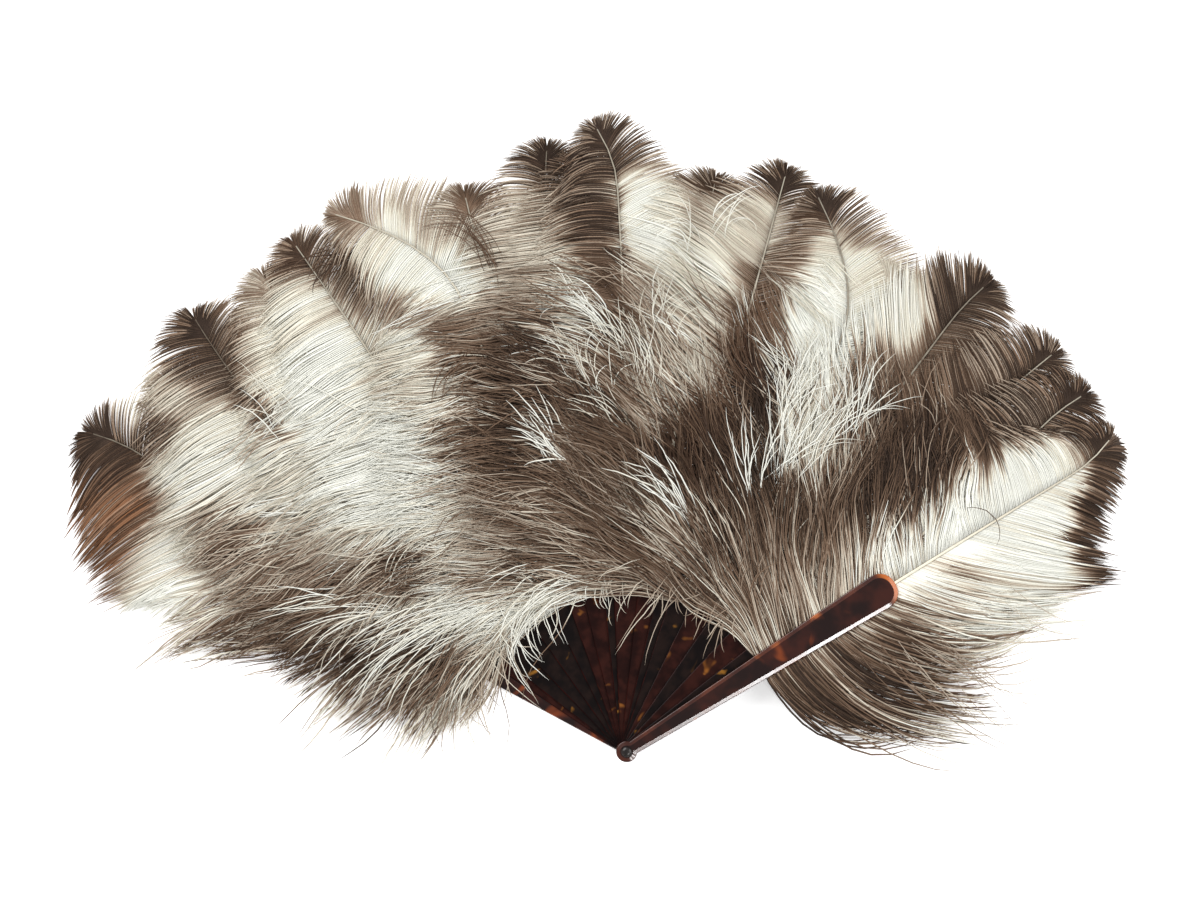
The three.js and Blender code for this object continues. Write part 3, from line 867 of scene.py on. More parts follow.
@dataclass
class Growth:
    """One coat of strands as it grows on a side of a plume.

    at runs from 0 at the lowest strand to 1 at the highest, and share is its place on the rachis.
    combed is how far a strand is combed, from 0 to 1, and stray marks those that stand out. place,
    tangent and leftward follow the plume's centre line.
    """

    plume: Plume
    side: Side
    coat: Coat
    drifts: dict[Trait, Drift]
    groom: Grooming = field(init=False)
    at: Array = field(init=False)
    share: Array = field(init=False)
    combed: Array = field(init=False)
    stray: Array = field(init=False)
    place: Array = field(init=False)
    tangent: Array = field(init=False)
    leftward: Array = field(init=False)

    def __post_init__(self) -> None:
        """Place the strands along the rachis."""
        plume = self.plume
        self.groom = plume.grooming(self.side)
        count = int(self.coat.count * self.groom.crowd)
        at = (np.arange(count) + plume.random.uniform(*HABIT.root_jitter, count)) / count
        self.at = np.interp(at, self.groom.crowding, plume.crowded)
        tip_share = 1.0 - plume.bare_tip / plume.run
        self.share = plume.root_share + (tip_share - plume.root_share) * self.at
        self.combed = np.interp(self.at, self.groom.combing, (0.0, 1.0))
        self.stray = plume.random.random(count) < self.groom.strays * self.coat.strays
        self.place, self.tangent, self.leftward = plume.line(self.share)

    def _drift(self, trait: Trait) -> Array:
        """What wanders along the side, at each strand."""
        return self.drifts[trait].at(self.at)

    def _calm(self, hold: float) -> Array:
        """How much each strand still goes its own way, where combing takes a share of that."""
        return 1.0 - hold * self.combed

    def _normal(self, size: float) -> Array:
        """Draw a value for each strand, which goes about as far as size to either side of zero."""
        return self.plume.random.normal(0.0, size, len(self.at))

    def _uniform(self, low: float, high: float) -> Array:
        """Draw a value between two limits for each strand."""
        return self.plume.random.uniform(low, high, len(self.at))

    def strands(self) -> Strands:
        """Grow the strands.

        Returns:
            The strands, coloured by where they lie on the open fan.
        """
        turn, bend = self._wander()
        length = self._lengths()
        rise = self._rises()
        flat = self._gather(self._paths(turn, bend, length))
        height = self._heights(rise)
        points = self.plume.above_lowest(np.concatenate([flat, height[..., None]], axis=-1))
        radius = self._half_widths()
        brown, ginger = self._colours(points, length)
        return Strands(points, radius, brown, ginger)

    def _wander(self) -> tuple[Array, Array]:
        """Draw how far each strand goes aside.

        Returns:
            How far each is turned at its root and how far it bends on its way, in degrees.
        """
        root_loose = HABIT.front_root_loose if self.plume.index == LAST else HABIT.root_loose
        loose = np.interp(self.at, LOOSE_AT, (root_loose, *LOOSE_ABOVE)) * self._calm(self.groom.hold)
        calm = self._calm(HABIT.turn_calm)
        turn = self._normal(self.coat.turn) * np.where(self.stray, HABIT.stray_turn, 1.0) * calm
        bend = self._normal(HABIT.bend) * calm
        return (self._drift(Trait.TURN) + turn) * loose, (self._drift(Trait.BEND) + bend) * loose

    def _lengths(self) -> Array:
        """Draw each strand's length.

        Returns:
            The lengths.
        """
        uneven = self.coat.uneven + self.groom.ragged * np.interp(self.at, *RAGGED_ZONE)
        wander = self._drift(Trait.LENGTH) * self._calm(self.groom.length_hold)
        length = self.plume.lengths(self.side, self.at) * self.coat.reach
        length = length * (1.0 + wander + uneven * self._normal(1.0))
        return length * np.where(self.stray, HABIT.stray_length, 1.0)

    def _rises(self) -> Array:
        """Draw how far each strand rises.

        Returns:
            The rises, from 0 to about 2.
        """
        rise = np.clip(HABIT.mean_rise + self._drift(Trait.RISE), 0.0, HABIT.most_rise)
        rise = rise + self._uniform(0.0, HABIT.own_rise)
        return rise + np.where(self.stray, HABIT.stray_rise, 0.0)

    def _paths(self, turn: Array, bend: Array, length: Array) -> Array:
        """Lead each strand from its root, in waves that neighbours share.

        Args:
            turn: How far each is turned at its root, in degrees.
            bend: How far each bends on its way, in degrees.
            length: How long each is.

        Returns:
            Points in the plane, with the shape (strands, points, 2).
        """
        own = self._normal(HABIT.phase) * self._calm(HABIT.phase_calm)
        phase = HABIT.phase_span * self._drift(Trait.PHASE) + own
        wave = np.sin(2 * math.pi * HABIT.waves * STEPS + phase[:, None]) * np.sqrt(STEPS)
        swing = HABIT.least_swing + np.abs(self._drift(Trait.WAVE))
        swing = swing * self._calm(HABIT.swing_calm)
        if self.plume.index == LAST and self.groom is OUTER:
            swing = swing * HABIT.front_swing
        start, end = self.plume.headings(self.side, self.at)
        ease = STEPS ** (HABIT.left_ease if self.side is Side.LEFT else HABIT.right_ease)
        heading = start[:, None] + (end - start)[:, None] * ease
        heading = heading + turn[:, None] + bend[:, None] * STEPS
        heading = np.radians(heading + swing[:, None] * wave)
        stride = length[:, None] / (STRAND_POINTS - 1)
        ahead = np.cumsum(np.cos(heading) * stride, axis=1)
        aside = np.cumsum(np.sin(heading) * stride, axis=1) * self.side.value
        ahead -= ahead[:, :1]
        aside -= aside[:, :1]
        flat = self.place[:, None, :] + ahead[..., None] * self.tangent[:, None, :]
        return flat + aside[..., None] * self.leftward[:, None, :]

    def _gather(self, flat: Array) -> Array:
        """Draw the ends of neighbouring strands together into locks.

        Args:
            flat: The strands' points in the plane.

        Returns:
            The gathered points.
        """
        locks = self.plume.locks
        lock = np.minimum((self.at * locks).astype(int), locks - 1)
        guide = np.clip(np.searchsorted(self.at, (lock + 0.5) / locks), 0, len(self.at) - 1)
        close = self.plume.random.uniform(0.0, HABIT.closest, locks)[lock]
        close = close * np.interp(self.at, *LOCK_ZONE)
        pull = np.where(self.stray, 0.0, close)[:, None] * STEPS**HABIT.lock_power
        return flat + (flat[guide] - flat) * pull[..., None]

    def _heights(self, rise: Array) -> Array:
        """Lay left strands over the next plume, and let right ones sink under it.

        Args:
            rise: How far each strand rises.

        Returns:
            Heights with the shape (strands, points).
        """
        plume = self.plume
        least = self.coat.height
        base = plume.layer + least
        swell = rise[:, None] * STEPS**HABIT.swell_power
        tip_rise = plume.tip_rise(self.share)[:, None]
        if self.side is Side.LEFT:
            return np.maximum(base + plume.lift * swell, least) + tip_rise
        droop = plume.row.droop * MM * STEPS**HABIT.droop_power
        sunk = base + HABIT.right_lift * plume.lift * swell - droop
        return np.maximum(sunk, least) + tip_rise * (1.0 - HABIT.right_fall * STEPS)

    def _half_widths(self) -> Array:
        """Draw each strand's half width and taper it.

        Returns:
            Half widths with the shape (strands, points).
        """
        broad = np.interp(self.at, self.plume.stations, self.coat.half_width) * MM
        broad = broad * self._uniform(*HABIT.width)
        if self.groom is OUTER and self.coat is FLUFF:
            broad = broad * np.interp(self.at, *BROAD_ZONE)
        return np.interp(STEPS, *STRAND_TAPER) * broad[:, None]

    def _colours(self, points: Array, length: Array) -> tuple[Array, Array]:
        """Colour the strands by the patches near where they lie.

        Args:
            points: The strands' points.
            length: How long each strand is.

        Returns:
            How brown and how ginger each point is.
        """
        calm = self._calm(HABIT.turn_calm)
        aside = (self._drift(Trait.SHIFT) + self._normal(HABIT.colour_aside)) * calm
        along = self._normal(HABIT.colour_along) * calm
        sample = points[..., :2] + aside[:, None, None] * self.leftward[:, None, :]
        sample = sample + along[:, None, None] * self.tangent[:, None, :]
        brown, ginger = blend_patches(self.plume.spread, sample)
        brown = np.clip(0.5 + HABIT.contrast * (brown - 0.5), 0.0, 1.0)
        rim = HABIT.rim_tone * np.interp(self.at, *RIM_ZONE)
        brown = brown + (1.0 - brown) * rim[:, None]
        edge = self.plume.row.edge
        if self.side is Side.RIGHT and edge:
            to_end = length[:, None] * (1.0 - STEPS)
            band = np.interp(to_end, HABIT.edge_band, (1.0, 0.0))
            band = band * np.interp(self.at, *EDGE_ZONE)[:, None]
            brown = brown + (edge - brown) * band
        own = self._normal(self.coat.tone * self.groom.tone) * self._calm(HABIT.tone_calm)
        own = self._drift(Trait.TONE) + own
        # Painted shade: the loose fluff is darkened to stand in for the shade between the barbs.
        shade = self.groom.fluff * self.coat.shade * (1.0 - self.combed)
        brown = (brown + own[:, None]) * (1.0 + shade)[:, None]
        pale = (self.groom.fluff * self.coat.pale * self.combed)[:, None]
        pale = np.minimum(HABIT.pale_tone - brown, 0.0) * pale
        return np.clip(brown + pale, 0.0, 1.0), ginger * (HABIT.ginger + self.coat.pale)


@dataclass
class Plume:
    """One ostrich plume: a quill that tapers into a rachis, and two webs of long soft barbs.

    The angles and the fullness of the webs are given at the stations, which are shares of the length.
    """

    index: int
    row: PlumeRow
    spread: Spread
    tufts: Sequence[Tuft] = ()
    seed: int = 1900
    root_share: float = -0.02
    bare_tip: float = 5.0 * MM
    locks: int = 30
    lift: float = 4.5 * MM
    lowest: float = -20.0 * MM
    gathered: float = 8.0 * MM
    flecks: int = 9
    shown_rise: float = 5.0
    quill_half_width: float = 1.25 * MM
    tip_half_width: float = 0.36 * MM
    quill_root: float = 2.0 * MM
    quill_height: float = 1.3 * MM
    stations: tuple[float, ...] = (0.0, 0.1, 0.35, 0.63, 0.82, 0.91, 0.965, 1.0)
    left_start: tuple[float, ...] = (90.0, 84.0, 76.0, 70.0, 66.0, 60.0, 48.0, 0.0)
    left_end: tuple[float, ...] = (96.0, 74.0, 62.0, 70.0, 86.0, 92.0, 78.0, 8.0)
    right_start: tuple[float, ...] = (102.0, 90.0, 68.0, 62.0, 60.0, 56.0, 44.0, 0.0)
    right_end: tuple[float, ...] = (0.0, 6.0, 36.0, 58.0, 78.0, 86.0, 76.0, 8.0)
    fullness: tuple[float, ...] = (0.76, 0.96, 1.0, 0.74, 0.53, 0.42, 0.28, 0.09)
    crowded: tuple[float, ...] = (0.0, 0.58, 0.955, 1.0)
    random: np.random.Generator = field(init=False)
    layer: float = field(init=False)
    root: float = field(init=False)
    run: float = field(init=False)
    sway: float = field(init=False)

    def __post_init__(self) -> None:
        """Seed the plume's own random numbers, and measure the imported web's layer, length and sway."""
        self.random = np.random.default_rng(self.seed + self.index)
        web = self.spread.nodes[f"plume_web_{self.tag}"]
        spots = np.array([vertex.co for vertex in web.data.vertices])
        self.layer = (spots[:, 2].min() + spots[:, 2].max()) / 2
        along, aside = self._by_axis(spots)
        self.root = float(along.min())
        self.run = float(along.max()) - self.root
        self.sway = float(aside[along.argmax()])

    @property
    def tag(self) -> str:
        """The plume's number as its nodes write it."""
        return f"{self.index:02d}"

    def _by_axis(self, spots: Array) -> tuple[Array, Array]:
        """Measure points along the stick's axis.

        Args:
            spots: Points with the shape (points, 3).

        Returns:
            How far each lies from the rivet along the axis, and how far to the left of it.
        """
        angle = self.spread.angle(self.index)
        along = spots[:, 0] * math.cos(angle) + spots[:, 1] * math.sin(angle)
        return along, spots[:, 1] * math.cos(angle) - spots[:, 0] * math.sin(angle)

    def line(self, share: Array) -> tuple[Array, Array, Array]:
        """Follow the plume's centre line.

        Args:
            share: Shares of the way from the web's root to its tip.

        Returns:
            The points, the directions towards the tip and the directions to the left, in the plane.
        """
        hook = self.row.hook * MM
        bow = self.row.bow * MM
        ahead = np.clip(share, 0.0, None)
        bowing = math.pi * ahead**BOW_POWER
        late = np.clip((share - self.row.hook_from) / (1 - self.row.hook_from), 0.0, None)
        aside = self.sway * ahead**SWAY_POWER + hook * late**2 - bow * np.sin(bowing)
        local = np.stack([self.root + self.run * share, aside], axis=-1)
        slope = SWAY_POWER * self.sway * ahead ** (SWAY_POWER - 1)
        slope = slope + 2 * hook * late / (1 - self.row.hook_from)
        slope = slope - bow * np.cos(bowing) * math.pi * BOW_POWER * ahead ** (BOW_POWER - 1)
        slope = slope / self.run
        tangent = np.stack([np.ones_like(slope), slope], axis=-1)
        tangent /= np.linalg.norm(tangent, axis=-1, keepdims=True)
        leftward = np.stack([-tangent[..., 1], tangent[..., 0]], axis=-1)
        angle = self.spread.angle(self.index)
        turn = np.array([[math.cos(angle), math.sin(angle)], [-math.sin(angle), math.cos(angle)]])
        return local @ turn, tangent @ turn, leftward @ turn

    def tip_rise(self, share: Array) -> Array:
        """How far the plume has curled up at shares of its length."""
        return self.row.rise * MM * np.clip(share, 0.0, 1.0) ** RISE_POWER

    def headings(self, side: Side, at: Array) -> tuple[Array, Array]:
        """Angles from the rachis of the barbs' roots and ends.

        Args:
            side: The side of the rachis.
            at: Shares of the way along the rachis.

        Returns:
            The angles at the roots and at the ends, in degrees.
        """
        if side is Side.RIGHT:
            rake = self.row.rake * np.interp(at, *RAKE_ZONE)
            sag = self.row.sag * np.interp(at, *SAG_ZONE)
            start = np.interp(at, self.stations, self.right_start)
            return start - rake, np.interp(at, self.stations, self.right_end) + sag - rake
        laid = np.interp(at, *LAY_ZONE)
        start = np.interp(at, self.stations, self.left_start) - self.row.lay * laid
        end = np.interp(at, self.stations, self.left_end) - self.row.sweep * laid
        return start, end + self.row.curl * np.interp(at, *CURL_ZONE)

    def lengths(self, side: Side, at: Array) -> Array:
        """Lengths of the barbs.

        Args:
            side: The side of the rachis.
            at: Shares of the way along the rachis.

        Returns:
            The lengths.
        """
        full = np.interp(at, self.stations, self.fullness) * MM
        if side is Side.RIGHT or self.index < LAST:
            full = full * np.interp(at, LOBE_AT, (self.row.root_lobe, self.row.lobe, 1.0))
        if side is Side.LEFT:
            sail = self.row.sail
            return full * self.row.left * np.interp(at, SAIL_AT, (1.0, sail, sail, 1.0))
        fin = np.interp(at, *FIN_ZONE) * (self.row.fin - 1.0)
        return full * self.row.right * (1.0 + fin)

    def grooming(self, side: Side) -> Grooming:
        """Choose how a side is combed, which depends on the plume beside it.

        Args:
            side: The side of the rachis.

        Returns:
            The side's grooming.
        """
        if (self.index, side) in ((0, Side.LEFT), (LAST, Side.RIGHT)):
            return OUTER
        shown = side is Side.LEFT or self.row.rise > self.shown_rise
        return INNER if shown else HIDDEN

    def grow(self, side: Side) -> list[Strands]:
        """Grow the fluff and then the barbs of one side, which share the same wandering locks."""
        drifts = {trait: Drift(self.random, *trait.value) for trait in Trait}
        return [Growth(self, side, coat, drifts).strands() for coat in (FLUFF, BARBS)]

    def above_lowest(self, points: Array) -> Array:
        """Gather what hangs below the fan's lowest edge, so that it ends near there.

        Args:
            points: Points whose last axis holds x, y and z.

        Returns:
            The same points, gathered.
        """
        below = np.maximum(self.lowest - points[..., 1], 0.0)
        points[..., 1] += below - self.gathered * (1 - np.exp(-below / self.gathered))
        return points

    def _tuft(self, tuft: Tuft) -> Strands:
        """Grow one loose lock.

        Args:
            tuft: Where it stands and how it lies.

        Returns:
            Its strands.
        """
        draw = self.random
        count = tuft.count
        out = self.spread.direction(tuft.stick)
        root = np.array([math.cos(out), math.sin(out)]) * tuft.radius * MM
        root = root[None, :] + draw.normal(0.0, LOCK.root_spread, (count, 2))
        fan = draw.normal(0.0, tuft.fan / LOCK.fan_part, count)
        bend = tuft.bend * draw.normal(1.0, LOCK.bend_uneven, count)
        bend = bend + draw.normal(0.0, LOCK.bend_fan * tuft.fan, count)
        heading = math.degrees(out) + tuft.turn + fan[:, None]
        heading = heading + bend[:, None] * STEPS**LOCK.bend_power
        heading = np.radians(heading + draw.normal(0.0, LOCK.kink, (count, STRAND_POINTS)))
        stride = tuft.length * MM * draw.uniform(*LOCK.length, (count, 1)) / (STRAND_POINTS - 1)
        path = np.stack([np.cos(heading), np.sin(heading)], axis=-1) * stride[..., None]
        path[:, 0] = 0.0
        flat = root[:, None, :] + np.cumsum(path, axis=1)
        rise = draw.uniform(*LOCK.rise, (count, 1)) * tuft.lift * MM
        rise = rise * np.sin(math.pi * STEPS * LOCK.arch)
        tip_rise = self.tip_rise((tuft.radius * MM - self.root) / self.run)
        height = self.layer + tuft.base * MM + tip_rise + rise
        points = self.above_lowest(np.concatenate([flat, height[..., None]], axis=-1))
        swell = np.interp(STEPS, *LOCK_TAPER)
        radius = tuft.thickness * MM * draw.uniform(*LOCK.width, (count, 1)) * swell
        brown = np.clip(tuft.brown + draw.normal(0.0, LOCK.tone, (count, 1)), 0.0, 1.0)
        brown = np.repeat(brown, STRAND_POINTS, axis=1)
        return Strands(points, radius, brown, np.zeros(radius.shape))

    def _scatter(self) -> list[Tuft]:
        """Draw small loose locks over the left web.

        Returns:
            The locks, each near the colour that it lies on.
        """
        draw = self.random
        tufts = []
        for _ in range(self.flecks if self.index < LAST else 0):
            share = draw.uniform(*FLECK.along)
            root, _, leftward = self.line(np.array([share]))
            aside = leftward[0] * draw.uniform(*FLECK.aside) * MM * (FLECK.taper - share)
            spot = root[0] + aside
            stick, radius = self.spread.sticks(spot)
            brown, _ = blend_patches(self.spread, spot)
            lean = math.degrees(self.spread.angle(self.index) - self.spread.direction(float(stick)))
            start, end = self.headings(Side.LEFT, np.array([share]))
            tufts.append(Tuft(
                stick=float(stick),
                radius=float(radius),
                turn=lean + float(start[0] + end[0]) / 2 + draw.normal(0.0, FLECK.turn),
                bend=draw.normal(0.0, FLECK.bend),
                length=draw.uniform(*FLECK.length),
                count=int(draw.integers(*FLECK.count)),
                brown=float(np.clip(brown + draw.normal(FLECK.paler, FLECK.tone), *FLECK.brown)),
                fan=draw.uniform(*FLECK.fan),
                thickness=draw.uniform(*FLECK.thickness),
                lift=draw.uniform(*FLECK.lift),
                base=FLECK.base,
            ))
        return tufts

    def build_down(self, mould: Mould, finish: Material) -> Piece:
        """Make both webs as one piece that replaces the plume's flat web.

        Args:
            mould: The strands' shape.
            finish: Material of the down.

        Returns:
            The new piece.
        """
        parts = [*self.grow(Side.RIGHT), *self.grow(Side.LEFT)]
        parts += [self._tuft(tuft) for tuft in (*self._scatter(), *self.tufts)]
        strands = Strands.joined(parts)
        piece = mould.cast(f"plume_down_{self.tag}", strands.points, strands.radius)
        mould.carry(piece, Value.BROWN, strands.brown)
        mould.carry(piece, Value.GINGER, strands.ginger)
        self._lay_out(piece.data)
        piece.data.materials.append(finish)
        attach(piece, body_of(self.index))
        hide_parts(f"plume_web_{self.tag}")
        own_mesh(piece)
        return piece

    def _lay_out(self, mesh: bpy.types.Mesh) -> None:
        """Lay the strands out flat along the stick's axis, as the map that a bake uses.

        Args:
            mesh: The strands' mesh.
        """
        spots = np.zeros(len(mesh.vertices) * 3, np.float32)
        mesh.vertices.foreach_get("co", spots)
        flat = np.stack(self._by_axis(spots.reshape(-1, 3)), axis=-1)
        flat -= flat.min(axis=0)
        flat /= flat.max(axis=0)
        corners = np.zeros(len(mesh.loops), np.int32)
        mesh.loops.foreach_get("vertex_index", corners)
        layer = mesh.uv_layers.new(name="OFBake")
        layer.data.foreach_set("uv", flat[corners].astype(np.float32).ravel())

    def build_rachis(self, mould: Mould, finish: Material) -> Piece:
        """Make the quill and rachis as one tapering piece that replaces the plume's shaft.

        Args:
            mould: The rachis's shape.
            finish: Material of the quill.

        Returns:
            The new piece.
        """
        points = mould.ring.max() + 1
        share = np.linspace(-self.quill_root / self.run, 1 - self.bare_tip / self.run, points)
        flat, _, _ = self.line(share)
        height = self.layer + self.quill_height + self.tip_rise(share)[:, None]
        taper = np.clip(share, 0.0, 1.0)
        radius = self.quill_half_width + (self.tip_half_width - self.quill_half_width) * taper
        path = np.concatenate([flat, height], axis=-1)
        piece = mould.cast(f"plume_rachis_{self.tag}", path[None], radius[None])
        horn = self.row.horn
        tones = (HORN_ROOT * horn, horn, HORN_TIP + (1 - HORN_TIP) * horn)
        mould.carry(piece, Value.BROWN, np.interp(share, HORN_AT, tones)[None])
        piece.data.materials.append(finish)
        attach(piece, body_of(self.index))
        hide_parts(f"plume_shaft_{self.tag}")
        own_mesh(piece)
        return piece


@dataclass
class Blade:
    """A flat tortoiseshell blade with a round head at the rivet and a rounded free end.

    reach runs from the rivet to the free end, neck and tip are widths, corner rounds the free end, head
    is the head's radius and edge rounds the rims. margin and fall are the width of the sloped margin
    round the front face and how far it falls.
    """

    reach: float
    neck: float
    tip: float
    corner: float
    head: float
    edge: float
    margin: float = 0.0
    fall: float = 0.0
    edge_steps: int = 3
    head_steps: int = 24
    corner_steps: int = 9
    front_facing: float = 0.9
    face_facing: float = 0.99
    crease: float = 10.0

    def _outline(self, low: float) -> Shape:
        """Draw the blade's back as one flat face along +X.

        Args:
            low: Height of the back.

        Returns:
            The face, in a shape of its own.
        """
        blade = bmesh.new()
        neck_x = math.sqrt(self.head**2 - self.neck**2 / 4)
        half = (self.neck + (self.tip - self.neck) * neck_x / self.reach) / 2
        begin = blade.verts.new((neck_x, half, low))
        turn = 2 * math.pi - 2 * math.atan2(half, neck_x)
        arc = bmesh.ops.spin(
            blade, geom=[begin], cent=ORIGIN, axis=UP, angle=turn, steps=self.head_steps
        )
        finish = next(item for item in arc["geom_last"] if isinstance(item, bmesh.types.BMVert))
        lower = blade.verts.new((self.reach, -self.tip / 2, low))
        upper = blade.verts.new((self.reach, self.tip / 2, low))
        for pair in ((finish, lower), (lower, upper), (upper, begin)):
            blade.edges.new(pair)
        bmesh.ops.contextual_create(blade, geom=blade.edges[:])
        bmesh.ops.bevel(
            blade, geom=[lower, upper], offset=self.corner, segments=self.corner_steps,
            profile=ROUND, affect="VERTICES", material=-1,
        )
        return blade

    def add(self, shape: Shape, low: float, high: float) -> None:
        """Add the blade to a shape, along +X.

        Args:
            shape: What it is added to.
            low: Height of its back.
            high: Height of its front.
        """
        blade = self._outline(low)
        front = bmesh.ops.extrude_face_region(blade, geom=blade.faces[:])
        raised = [item for item in front["geom"] if isinstance(item, bmesh.types.BMVert)]
        bmesh.ops.translate(blade, verts=raised, vec=(0.0, 0.0, high - low - self.fall))
        bmesh.ops.recalc_face_normals(blade, faces=blade.faces[:])
        rims = [item for item in blade.edges if abs(item.verts[0].co.z - item.verts[1].co.z) < TINY]
        if self.margin:
            top = [polygon for polygon in blade.faces if polygon.normal.z > self.front_facing]
            bmesh.ops.inset_region(blade, faces=top, thickness=self.margin, depth=self.fall)
        bmesh.ops.bevel(
            blade, geom=rims, offset=self.edge, segments=self.edge_steps,
            profile=ROUND, affect="EDGES", material=-1,
        )
        mesh = bpy.data.meshes.new("blade")
        blade.to_mesh(mesh)
        blade.free()
        shape.from_mesh(mesh)
        bpy.data.meshes.remove(mesh)

    def build(
        self, node: str, angle: float, levels: Sequence[tuple[float, float]], slot: str,
        face: Material, rim: Material,
    ) -> Piece:
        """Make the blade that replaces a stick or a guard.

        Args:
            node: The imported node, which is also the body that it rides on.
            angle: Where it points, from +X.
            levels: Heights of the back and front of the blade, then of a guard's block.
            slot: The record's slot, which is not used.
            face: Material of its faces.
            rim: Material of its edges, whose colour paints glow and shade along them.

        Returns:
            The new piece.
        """
        shape = bmesh.new()
        self.add(shape, *levels[0])
        for low, high in levels[1:]:
            GUARD_BLOCK.add(shape, low, high)
        turn = Matrix.Rotation(angle, 3, "Z")
        bmesh.ops.rotate(shape, cent=ORIGIN, matrix=turn, verts=shape.verts[:])
        shape.normal_update()
        # Faces that turn away from the front take the rim material, whose colour is painted light along
        # the edges: painted glow on the guards, painted shade and a faint red glow on the sticks.
        for polygon in shape.faces:
            polygon.material_index = int(abs(polygon.normal.z) < self.face_facing)
        piece = new_piece(f"{node}_shell", shape, self.crease)
        piece.data.materials.append(face)
        piece.data.materials.append(rim)
        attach(piece, node)
        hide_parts(node)
        return piece


GUARD = Blade(
    reach=202 * MM, neck=8.4 * MM, tip=24 * MM, corner=11.2 * MM, head=6.6 * MM, edge=0.45 * MM,
    margin=2.6 * MM, fall=0.6 * MM,
)
STICK = Blade(
    reach=106 * MM, neck=7.6 * MM, tip=17 * MM, corner=2.5 * MM, head=6.2 * MM, edge=0.15 * MM,
    margin=0.6 * MM, fall=0.2 * MM,
)
GUARD_BLOCK = Blade(
    reach=95 * MM, neck=7.4 * MM, tip=14.7 * MM, corner=0.5 * MM, head=6.1 * MM, edge=0.1 * MM
)


@dataclass
class RivetCap:
    """The smooth domed cap on the rivet's front."""

    radius: float = 3.4 * MM
    rim_share: float = 0.28
    steps: int = 32
    dome_steps: int = 6
    merge: float = 0.01 * MM

    def build(self, finish: Material) -> Piece:
        """Spin the cap's profile, a straight rim under a dome.

        Args:
            finish: Material of the cap.

        Returns:
            The new piece.
        """
        low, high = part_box("rivet_cap")
        rise = high.z - low.z
        shape = bmesh.new()
        chain = [shape.verts.new((0.0, 0.0, low.z)), shape.verts.new((self.radius, 0.0, low.z))]
        for step in range(self.dome_steps + 1):
            turn = math.pi / 2 * step / self.dome_steps
            share = self.rim_share + (1 - self.rim_share) * math.sin(turn)
            chain.append(shape.verts.new((self.radius * math.cos(turn), 0.0, low.z + rise * share)))
        for first, second in zip(chain, chain[1:]):
            shape.edges.new((first, second))
        bmesh.ops.spin(
            shape, geom=shape.edges[:], cent=ORIGIN, axis=UP, angle=2 * math.pi,
            steps=self.steps, use_merge=True,
        )
        bmesh.ops.remove_doubles(shape, verts=shape.verts[:], dist=self.merge)
        bmesh.ops.recalc_face_normals(shape, faces=shape.faces[:])
        piece = new_piece("rivet_dome", shape)
        piece.data.materials.append(finish)
        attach(piece, REAR_GUARD)
        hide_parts("rivet_cap")
        return piece


